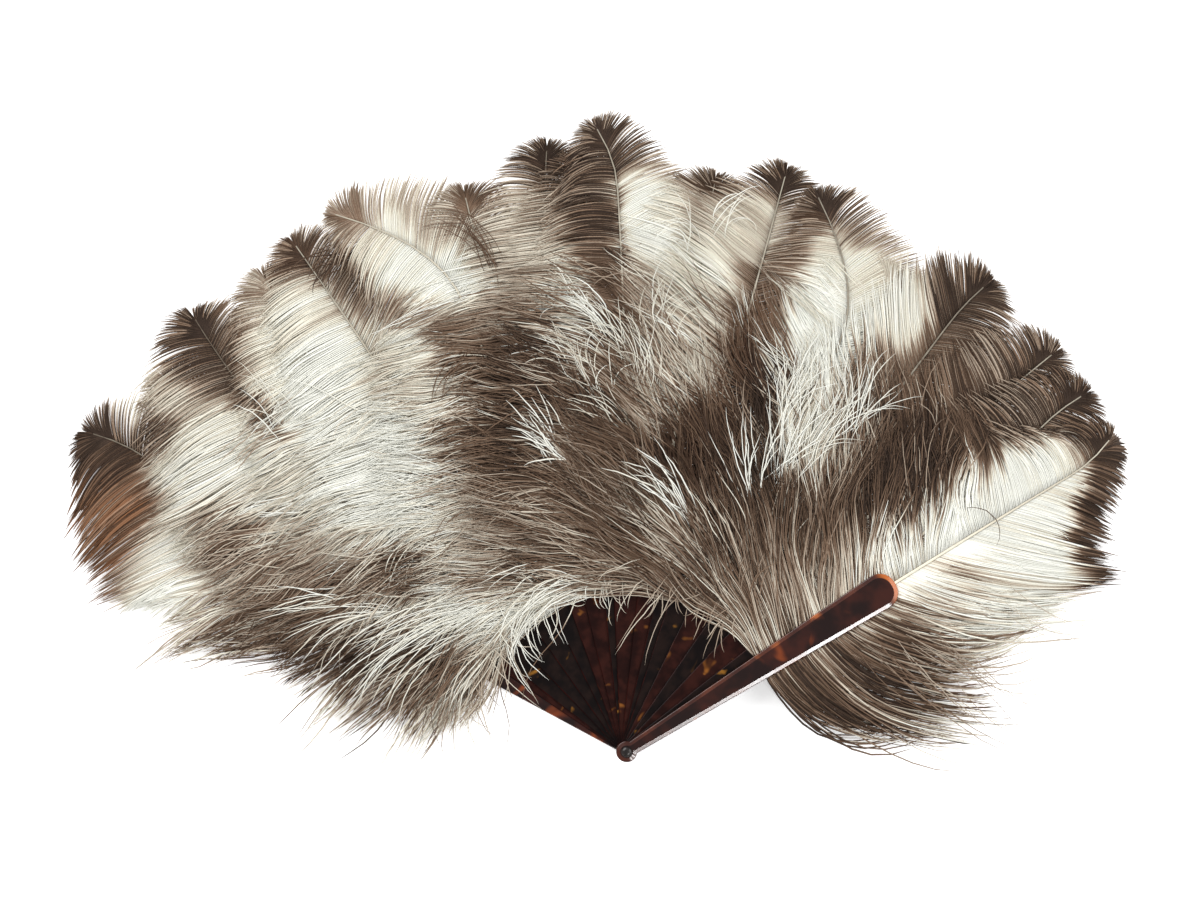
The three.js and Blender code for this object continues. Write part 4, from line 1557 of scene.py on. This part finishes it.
class NodeTree:
    """Small helpers for making shader nodes. A fed value is a socket, a number or a colour."""

    def __init__(self, tree: bpy.types.NodeTree) -> None:
        """Keep the tree that nodes are added to."""
        self.tree = tree

    def add(self, kind: str, **values: object) -> bpy.types.Node:
        """Add a node and set its properties.

        Args:
            kind: Blender's name of the node's type.
            **values: Properties of the node.

        Returns:
            The new node.
        """
        node = self.tree.nodes.new(kind)
        for name, value in values.items():
            setattr(node, name, value)
        return node

    def feed(self, target: Socket, value: object) -> None:
        """Link a socket to an input, or set the input's own value.

        Args:
            target: The input.
            value: What it is fed.
        """
        if isinstance(value, Socket):
            self.tree.links.new(value, target)
        elif target.type == "RGBA":
            target.default_value = (*value, 1.0)
        else:
            target.default_value = value

    def place(self) -> Socket:
        """Where on the piece a point lies, in metres."""
        return self.add("ShaderNodeTexCoord").outputs["Object"]

    def carried(self, value: Value) -> Socket:
        """A value that the strands carry."""
        return self.add("ShaderNodeAttribute", attribute_name=value.value).outputs["Fac"]

    def noise(
        self, place: Socket, scale: object, detail: float = 2.0, distortion: float = 0.0
    ) -> Socket:
        """Add a noise texture.

        Args:
            place: Where it is read.
            scale: How fine it is.
            detail: How many finer octaves it has.
            distortion: How far it is warped.

        Returns:
            Its value.
        """
        node = self.add("ShaderNodeTexNoise")
        settings = {"Vector": place, "Scale": scale, "Detail": detail, "Distortion": distortion}
        for name, value in settings.items():
            self.feed(node.inputs[name], value)
        return node.outputs["Fac"]

    def ramp(self, factor: Socket, stops: Sequence[tuple[float, Colour]]) -> Socket:
        """Add a colour ramp.

        Args:
            factor: What drives the ramp.
            stops: Places and colours of its stops.

        Returns:
            Its colour.
        """
        node = self.add("ShaderNodeValToRGB")
        elements = node.color_ramp.elements
        while len(elements) < len(stops):
            elements.new(1.0)
        for element, (place, colour) in zip(elements, stops):
            element.position = place
            element.color = (*colour, 1.0)
        self.feed(node.inputs["Fac"], factor)
        return node.outputs["Color"]

    def span(self, value: Socket, low: object, high: object) -> Socket:
        """Spread a range of a value smoothly over 0 to 1.

        Args:
            value: The value.
            low: What becomes 0.
            high: What becomes 1.

        Returns:
            The spread value.
        """
        node = self.add("ShaderNodeMapRange", interpolation_type="SMOOTHSTEP")
        for name, amount in (("Value", value), ("From Min", low), ("From Max", high)):
            self.feed(node.inputs[name], amount)
        return node.outputs["Result"]

    def math(self, operation: str, first: object, second: object) -> Socket:
        """Add a math node.

        Args:
            operation: What it does.
            first: A fed value.
            second: A fed value.

        Returns:
            Its output.
        """
        node = self.add("ShaderNodeMath", operation=operation)
        for socket, value in zip(node.inputs, (first, second)):
            self.feed(socket, value)
        return node.outputs[0]

    def scaled(self, value: object, factor: float, offset: float) -> Socket:
        """A value times a factor, plus an offset."""
        return self.math("ADD", self.math("MULTIPLY", value, factor), offset)

    def shifted(self, value: object, noise: object, depth: float) -> Socket:
        """A value that a noise moves up and down by half of a depth."""
        return self.math("ADD", value, self.math("MULTIPLY", self.math("SUBTRACT", noise, 0.5), depth))

    def mix(self, factor: Socket, first: object, second: object) -> Socket:
        """Mix two colours.

        Args:
            factor: How much of the second.
            first: A fed colour.
            second: A fed colour.

        Returns:
            The mixed colour.
        """
        node = self.add("ShaderNodeMix", data_type="RGBA")
        self.feed(node.inputs["Factor"], factor)
        for name, value in (("A", first), ("B", second)):
            sockets = (item for item in node.inputs if item.name == name and item.type == "RGBA")
            self.feed(next(sockets), value)
        return next(item for item in node.outputs if item.type == "RGBA")


class Surface(NodeTree):
    """The nodes of one material, around its principled shader."""

    def __init__(self, name: str) -> None:
        """Start a node material.

        Args:
            name: Its name.
        """
        self.material = bpy.data.materials.new(name)
        self.material.use_nodes = True
        super().__init__(self.material.node_tree)

    def dress(self, **inputs: object) -> Material:
        """Feed the shader's inputs.

        Args:
            **inputs: Fed values, by the inputs' names with low lines for spaces.

        Returns:
            The finished material.
        """
        shader = self.tree.nodes["Principled BSDF"]
        for name, value in inputs.items():
            self.feed(shader.inputs[name.replace("_", " ")], value)
        return self.material


@dataclass(frozen=True)
class DownFinish:
    """Soft ostrich down, from cream white to dark brown, with a trace of ginger."""

    white: Colour = (0.82, 0.82, 0.755)
    cream: Colour = (0.74, 0.705, 0.595)
    beige: Colour = (0.47, 0.39, 0.305)
    brown: Colour = (0.195, 0.125, 0.082)
    umber: Colour = (0.092, 0.054, 0.033)
    black: Colour = (0.034, 0.020, 0.013)
    ginger: Colour = (0.24, 0.095, 0.035)
    redness: float = 0.8
    fleck_scale: float = 900.0
    fleck_depth: float = 0.16
    least_rough: float = 0.62
    rough_span: float = 0.2
    gloss: float = 0.22

    def material(self) -> Material:
        """Build the material, which reads the values that the strands carry.

        Returns:
            The material.
        """
        tree = Surface("ostrich_down")
        fleck = tree.noise(tree.place(), self.fleck_scale)
        tone = tree.shifted(tree.carried(Value.BROWN), fleck, self.fleck_depth)
        ramp = tree.ramp(tone, (
            (0.04, self.white), (0.2, self.cream), (0.4, self.beige),
            (0.6, self.brown), (0.8, self.umber), (1.0, self.black),
        ))
        redness = tree.math("MULTIPLY", tree.carried(Value.GINGER), self.redness)
        return tree.dress(
            Base_Color=tree.mix(redness, ramp, self.ginger),
            Roughness=tree.scaled(fleck, self.rough_span, self.least_rough),
            Specular_IOR_Level=self.gloss,
        )


@dataclass(frozen=True)
class QuillFinish:
    """Smooth horn of a quill: cream at the root, browner towards the tip."""

    cream: Colour = (0.78, 0.72, 0.58)
    horn: Colour = (0.055, 0.035, 0.022)
    streak_scale: float = 260.0
    streak_depth: float = 0.3
    least_rough: float = 0.45
    rough_span: float = 0.2
    gloss: float = 0.2

    def material(self) -> Material:
        """Build the material, which reads how dark the horn is.

        Returns:
            The material.
        """
        tree = Surface("quill_horn")
        streak = tree.noise(tree.place(), self.streak_scale)
        tone = tree.shifted(tree.carried(Value.BROWN), streak, self.streak_depth)
        return tree.dress(
            Base_Color=tree.ramp(tone, ((0.0, self.cream), (1.0, self.horn))),
            Roughness=tree.scaled(streak, self.rough_span, self.least_rough),
            Specular_IOR_Level=self.gloss,
        )


@dataclass(frozen=True)
class Mottle:
    """The clouded pattern that every piece of tortoiseshell shares.

    fine sets how much finer the red clouds are than the amber ones, and red_span where they turn from
    dark to red. Amber starts at amber_from with no share of amber, earlier by amber_part with a full
    one, and takes amber_soft to come in.
    """

    warp: float = 0.6
    fine: float = 1.7
    red_span: tuple[float, float] = (0.34, 0.70)
    amber_from: float = 0.82
    amber_part: float = 0.42
    amber_soft: float = 0.12
    amber_gain: float = 1.5
    least_rough: float = 0.10
    rough_span: float = 0.12

    def group(self) -> bpy.types.NodeTree:
        """Build the pattern.

        Returns:
            Its node group.
        """
        group = bpy.data.node_groups.new("shell_mottle", "ShaderNodeTree")
        kinds = {"Vector": "Vector", "Dark": "Color", "Red": "Color", "Amber": "Color",
                 "Cloud Scale": "Float", "Amber Share": "Float"}
        for name, kind in kinds.items():
            group.interface.new_socket(name, in_out="INPUT", socket_type=f"NodeSocket{kind}")
        for name, kind in (("Color", "Color"), ("Roughness", "Float")):
            group.interface.new_socket(name, in_out="OUTPUT", socket_type=f"NodeSocket{kind}")
        tree = NodeTree(group)
        ins = tree.add("NodeGroupInput").outputs
        outs = tree.add("NodeGroupOutput").inputs
        cloud = tree.noise(ins["Vector"], ins["Cloud Scale"], distortion=self.warp)
        fine = tree.noise(ins["Vector"], tree.math("MULTIPLY", ins["Cloud Scale"], self.fine))
        base = tree.mix(tree.span(fine, *self.red_span), ins["Dark"], ins["Red"])
        part = tree.math("MULTIPLY", ins["Amber Share"], self.amber_part)
        low = tree.math("SUBTRACT", self.amber_from, part)
        amber = tree.span(cloud, low, tree.math("ADD", low, self.amber_soft))
        patchy = tree.math("MULTIPLY", amber, tree.math("MULTIPLY", fine, self.amber_gain))
        tree.feed(outs["Color"], tree.mix(patchy, base, ins["Amber"]))
        tree.feed(outs["Roughness"], tree.scaled(fine, self.rough_span, self.least_rough))
        return group


@dataclass(frozen=True)
class ShellFinish:
    """Polished tortoiseshell, which turns clear amber past a set radius from the rivet; on the guard's
    edges this amber is a painted glow of light through the shell at the tip.
    """

    name: str
    dark: Colour
    red: Colour
    amber: Colour
    cloud_scale: float
    amber_share: float
    gloss: float
    painted_glow_from: float = 1.0
    painted_glow_soft: float = 7.0 * MM

    def material(self, mottle: bpy.types.NodeTree) -> Material:
        """Build the material.

        Args:
            mottle: The clouded pattern.

        Returns:
            The material.
        """
        tree = Surface(self.name)
        place = tree.place()
        pattern = tree.add("ShaderNodeGroup", node_tree=mottle)
        settings = {
            "Vector": place, "Dark": self.dark, "Red": self.red, "Amber": self.amber,
            "Cloud Scale": self.cloud_scale, "Amber Share": self.amber_share,
        }
        for name, value in settings.items():
            tree.feed(pattern.inputs[name], value)
        flat = tree.add("ShaderNodeVectorMath", operation="MULTIPLY")
        tree.feed(flat.inputs[0], place)
        tree.feed(flat.inputs[1], (1.0, 1.0, 0.0))
        reach = tree.add("ShaderNodeVectorMath", operation="LENGTH")
        tree.feed(reach.inputs[0], flat.outputs["Vector"])
        # Painted glow: amber past the set radius, which on the guard's edges stands in for light shining
        # through the tip.
        clear = tree.span(reach.outputs["Value"], self.painted_glow_from, self.painted_glow_from + self.painted_glow_soft)
        return tree.dress(
            Base_Color=tree.mix(clear, pattern.outputs["Color"], self.amber),
            Roughness=pattern.outputs["Roughness"],
            Specular_IOR_Level=self.gloss,
        )


GUARD_SHELL = ShellFinish(
    "guard_tortoiseshell", dark=(0.010, 0.0035, 0.003), red=(0.035, 0.008, 0.005),
    amber=(0.24, 0.05, 0.012), cloud_scale=40.0, amber_share=0.52, gloss=0.35,
)
# Painted glow: a lighter, redder copy of the guard's shell for its edges and sloped margin. It stands in
# for light shining through the shell there, and turns amber at the tip.
GUARD_EDGE_PAINTED_GLOW = ShellFinish(
    "guard_lit_edge", dark=(0.032, 0.007, 0.004), red=(0.085, 0.018, 0.006),
    amber=(0.42, 0.11, 0.02), cloud_scale=40.0, amber_share=0.56, gloss=0.5, painted_glow_from=193 * MM,
)
STICK_SHELL = ShellFinish(
    "stick_tortoiseshell", dark=(0.0055, 0.004, 0.004), red=(0.012, 0.007, 0.006),
    amber=(0.28, 0.12, 0.018), cloud_scale=74.0, amber_share=0.39, gloss=0.07,
)
RED_STICK_SHELL = ShellFinish(
    "stick_red_tortoiseshell", dark=(0.011, 0.004, 0.0035), red=(0.027, 0.008, 0.006),
    amber=(0.25, 0.09, 0.018), cloud_scale=64.0, amber_share=0.40, gloss=0.07,
)
# Painted shade and glow: a darker, redder copy of the sticks' shell for their edges and margins. It
# stands in for the shade between the blades, with a faint painted red glow along their edges.
STICK_EDGE_PAINTED_SHADE_AND_GLOW = ShellFinish(
    "stick_lit_edge", dark=(0.006, 0.002, 0.002), red=(0.022, 0.004, 0.003),
    amber=(0.05, 0.012, 0.004), cloud_scale=60.0, amber_share=0.4, gloss=0.05,
)


@dataclass(frozen=True)
class RivetFinish:
    """Dark polished metal with faint scratches."""

    colour: Colour = (0.02, 0.017, 0.016)
    worn: Colour = (0.10, 0.085, 0.075)
    wear_scale: float = 700.0
    wear_detail: float = 4.0
    least_rough: float = 0.2
    rough_span: float = 0.1
    metallic: float = 0.5

    def material(self) -> Material:
        """Build the material.

        Returns:
            The material.
        """
        tree = Surface("rivet_metal")
        wear = tree.noise(tree.place(), self.wear_scale, self.wear_detail)
        return tree.dress(
            Base_Color=tree.ramp(wear, ((0.55, self.colour), (0.9, self.worn))),
            Roughness=tree.scaled(wear, self.rough_span, self.least_rough),
            Metallic=self.metallic,
        )


@dataclass(frozen=True)
class FloorFinish:
    """Plain pale paper on a light table."""

    colour: Colour = (0.95, 0.95, 0.95)
    paler: Colour = (0.96, 0.96, 0.96)
    grain_scale: float = 400.0
    roughness: float = 0.9
    glow: float = 0.38

    def material(self) -> Material:
        """Build the material.

        Returns:
            The material.
        """
        tree = Surface("pale_floor")
        grain = tree.noise(tree.place(), self.grain_scale)
        return tree.dress(
            Base_Color=tree.ramp(grain, ((0.3, self.colour), (0.7, self.paler))),
            Roughness=self.roughness,
            Emission_Color=WHITE,
            Emission_Strength=self.glow,
        )


@dataclass(frozen=True)
class Lamp:
    """A soft light that faces the fan. Its sides are in metres and its power is in watts."""

    name: str
    place: tuple[float, float, float]
    sides: tuple[float, float]
    power: float
    target: tuple[float, float, float] = (0.0, 0.2, 0.0)

    def build(self) -> None:
        """Hang the light."""
        data = bpy.data.lights.new(self.name, "AREA")
        data.shape = "RECTANGLE"
        data.size, data.size_y = self.sides
        data.energy = self.power
        light = bpy.data.objects.new(self.name, data)
        light.location = self.place
        aim = Vector(self.target) - Vector(self.place)
        light.rotation_euler = aim.to_track_quat("-Z", "Y").to_euler()
        bpy.context.scene.collection.objects.link(light)


@dataclass
class Studio:
    """The pale floor, the soft lights and the camera over the fan.

    The rivet's place is in the photograph's pixels, of the size pixel.
    """

    pixel: float = 0.64 * MM
    frame_width: int = 1200
    frame_height: int = 900
    rivet_x: float = 626.5
    rivet_y: float = 750.5
    lens: float = 85.0
    sensor: float = 36.0
    focus_height: float = 18.0 * MM
    floor_half: float = 16.0
    sky: float = 0.44
    lamps: tuple[Lamp, ...] = (
        Lamp("key", (-1.3, 1.7, 2.1), (2.2, 2.2), 84.0),
        Lamp("fill", (1.9, 0.3, 1.9), (1.8, 1.8), 36.0),
        Lamp("tip_glint", (0.83, -0.74, 1.75), (0.12, 0.24), 5.4),
        Lamp("head_glint", (0.527, -0.93, 1.75), (0.08, 0.24), 3.2),
    )

    def build(self) -> None:
        """Make the floor, the lights and the camera."""
        self._floor()
        for lamp in self.lamps:
            lamp.build()
        self._sky()
        self._camera()

    def _floor(self) -> None:
        """Lay the floor under the fan."""
        shape = bmesh.new()
        bmesh.ops.create_grid(shape, x_segments=1, y_segments=1, size=self.floor_half)
        floor = new_piece("floor", shape)
        floor.data.materials.append(FloorFinish().material())
        floor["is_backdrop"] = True

    def _sky(self) -> None:
        """Light the studio evenly from all sides."""
        world = bpy.data.worlds.new("studio_sky")
        world.use_nodes = True
        sky = world.node_tree.nodes["Background"]
        sky.inputs["Color"].default_value = (*WHITE, 1.0)
        sky.inputs["Strength"].default_value = self.sky
        bpy.context.scene.world = world
        bpy.context.scene.view_settings.view_transform = "Standard"

    def _camera(self) -> None:
        """Put the camera square over the fan, with the photograph's frame."""
        data = bpy.data.cameras.new("camera")
        data.lens = self.lens
        data.sensor_width = self.sensor
        data.sensor_fit = "HORIZONTAL"
        camera = bpy.data.objects.new("camera", data)
        across = self.frame_width * self.pixel
        x = (self.frame_width / 2 - self.rivet_x) * self.pixel
        y = (self.rivet_y - self.frame_height / 2) * self.pixel
        camera.location = (x, y, self.focus_height + across * self.lens / self.sensor)
        bpy.context.scene.collection.objects.link(camera)
        bpy.context.scene.camera = camera


@dataclass
class Fan:
    """The whole fan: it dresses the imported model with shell, rivet and plumes."""

    frame: dict
    guard_blade: float = 2.2 * MM
    guard_overlap: float = 0.5
    strand_sides: int = 4
    strand_flatness: float = 0.45
    rachis_sides: int = 10
    rachis_points: int = 24
    rachis_flatness: float = 0.32
    red_sticks: tuple[int, ...] = (1, 6, 7, 9, 10, 13, 15)
    spread: Spread = field(init=False)

    def __post_init__(self) -> None:
        """Read the fan's angles."""
        self.spread = Spread(self.frame)

    def build(self) -> Iterator[Piece]:
        """Make the shell, the rivet and every plume.

        Yields:
            Each piece when it is made.
        """
        yield from self._build_shell()
        yield self._build_rivet()
        yield from self._build_plumes()

    def _build_shell(self) -> Iterator[Piece]:
        """Make the guards and the sticks of tortoiseshell.

        Yields:
            Each blade when it is made.
        """
        mottle = Mottle().group()
        # The edge materials carry painted light: a painted glow on the guards, and painted shade with a
        # faint painted red glow on the sticks.
        guard, guard_painted_glow, stick, red_stick, stick_painted_shade_and_glow = (
            finish.material(mottle)
            for finish in (GUARD_SHELL, GUARD_EDGE_PAINTED_GLOW, STICK_SHELL, RED_STICK_SHELL, STICK_EDGE_PAINTED_SHADE_AND_GLOW)
        )
        for index in range(LAST + 1):
            node = body_of(index)
            angle = self.spread.angle(index)
            low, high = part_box(node)
            if index in (0, LAST):
                levels = self._guard_levels(index, low.z, high.z)
                yield GUARD.build(node, angle, levels, "guard_shell", guard, guard_painted_glow)
            else:
                tint = red_stick if index in self.red_sticks else stick
                yield STICK.build(node, angle, [(low.z, high.z)], "stick_shell", tint, stick_painted_shade_and_glow)

    def _guard_levels(self, index: int, low: float, high: float) -> list[tuple[float, float]]:
        """Heights of a guard's blade and of the block that holds its quill.

        Args:
            index: The guard's number.
            low: Its lowest point.
            high: Its highest point.

        Returns:
            Back and front of the blade, then of the block.
        """
        overlap = self.guard_overlap * self.guard_blade
        if index == 0:
            return [(low, low + self.guard_blade), (low + overlap, high)]
        return [(high - self.guard_blade, high), (low, high - overlap)]

    def _build_rivet(self) -> Piece:
        """Make the rivet's cap and dress its pin.

        Returns:
            The cap.
        """
        metal = RivetFinish().material()
        mesh = self.frame["nodes"]["rivet_pin"].data
        mesh.materials.clear()
        mesh.materials.append(metal)
        return RivetCap().build(metal)

    def _build_plumes(self) -> Iterator[Piece]:
        """Make each plume's rachis and down.

        Yields:
            Each piece when it is made.
        """
        down = DownFinish().material()
        quill = QuillFinish().material()
        strand = Mould(self.strand_sides, STRAND_POINTS, self.strand_flatness)
        stem = Mould(self.rachis_sides, self.rachis_points, self.rachis_flatness)
        for index, row in enumerate(PLUME_ROWS):
            tufts = [tuft for tuft in TUFTS if self.spread.nearest(tuft.stick) == index]
            plume = Plume(index, row, self.spread, tufts)
            yield plume.build_rachis(stem, quill)
            yield plume.build_down(strand, down)


def main() -> None:
    """Build the fan and its studio."""
    logging.basicConfig(level=logging.INFO, format="%(name)s: %(message)s")
    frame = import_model()
    packed_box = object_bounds()
    for piece in Fan(frame).build():
        LOG.info("%s: %d faces", piece.name, len(piece.data.polygons))
    Studio().build()
    boxes = {"cad": packed_box, "visual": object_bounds()}
    plain = {name: [list(map(float, corner)) for corner in box] for name, box in boxes.items()}
    LOG.info("boxes: %s", plain)


if __name__ == "__main__":
    main()
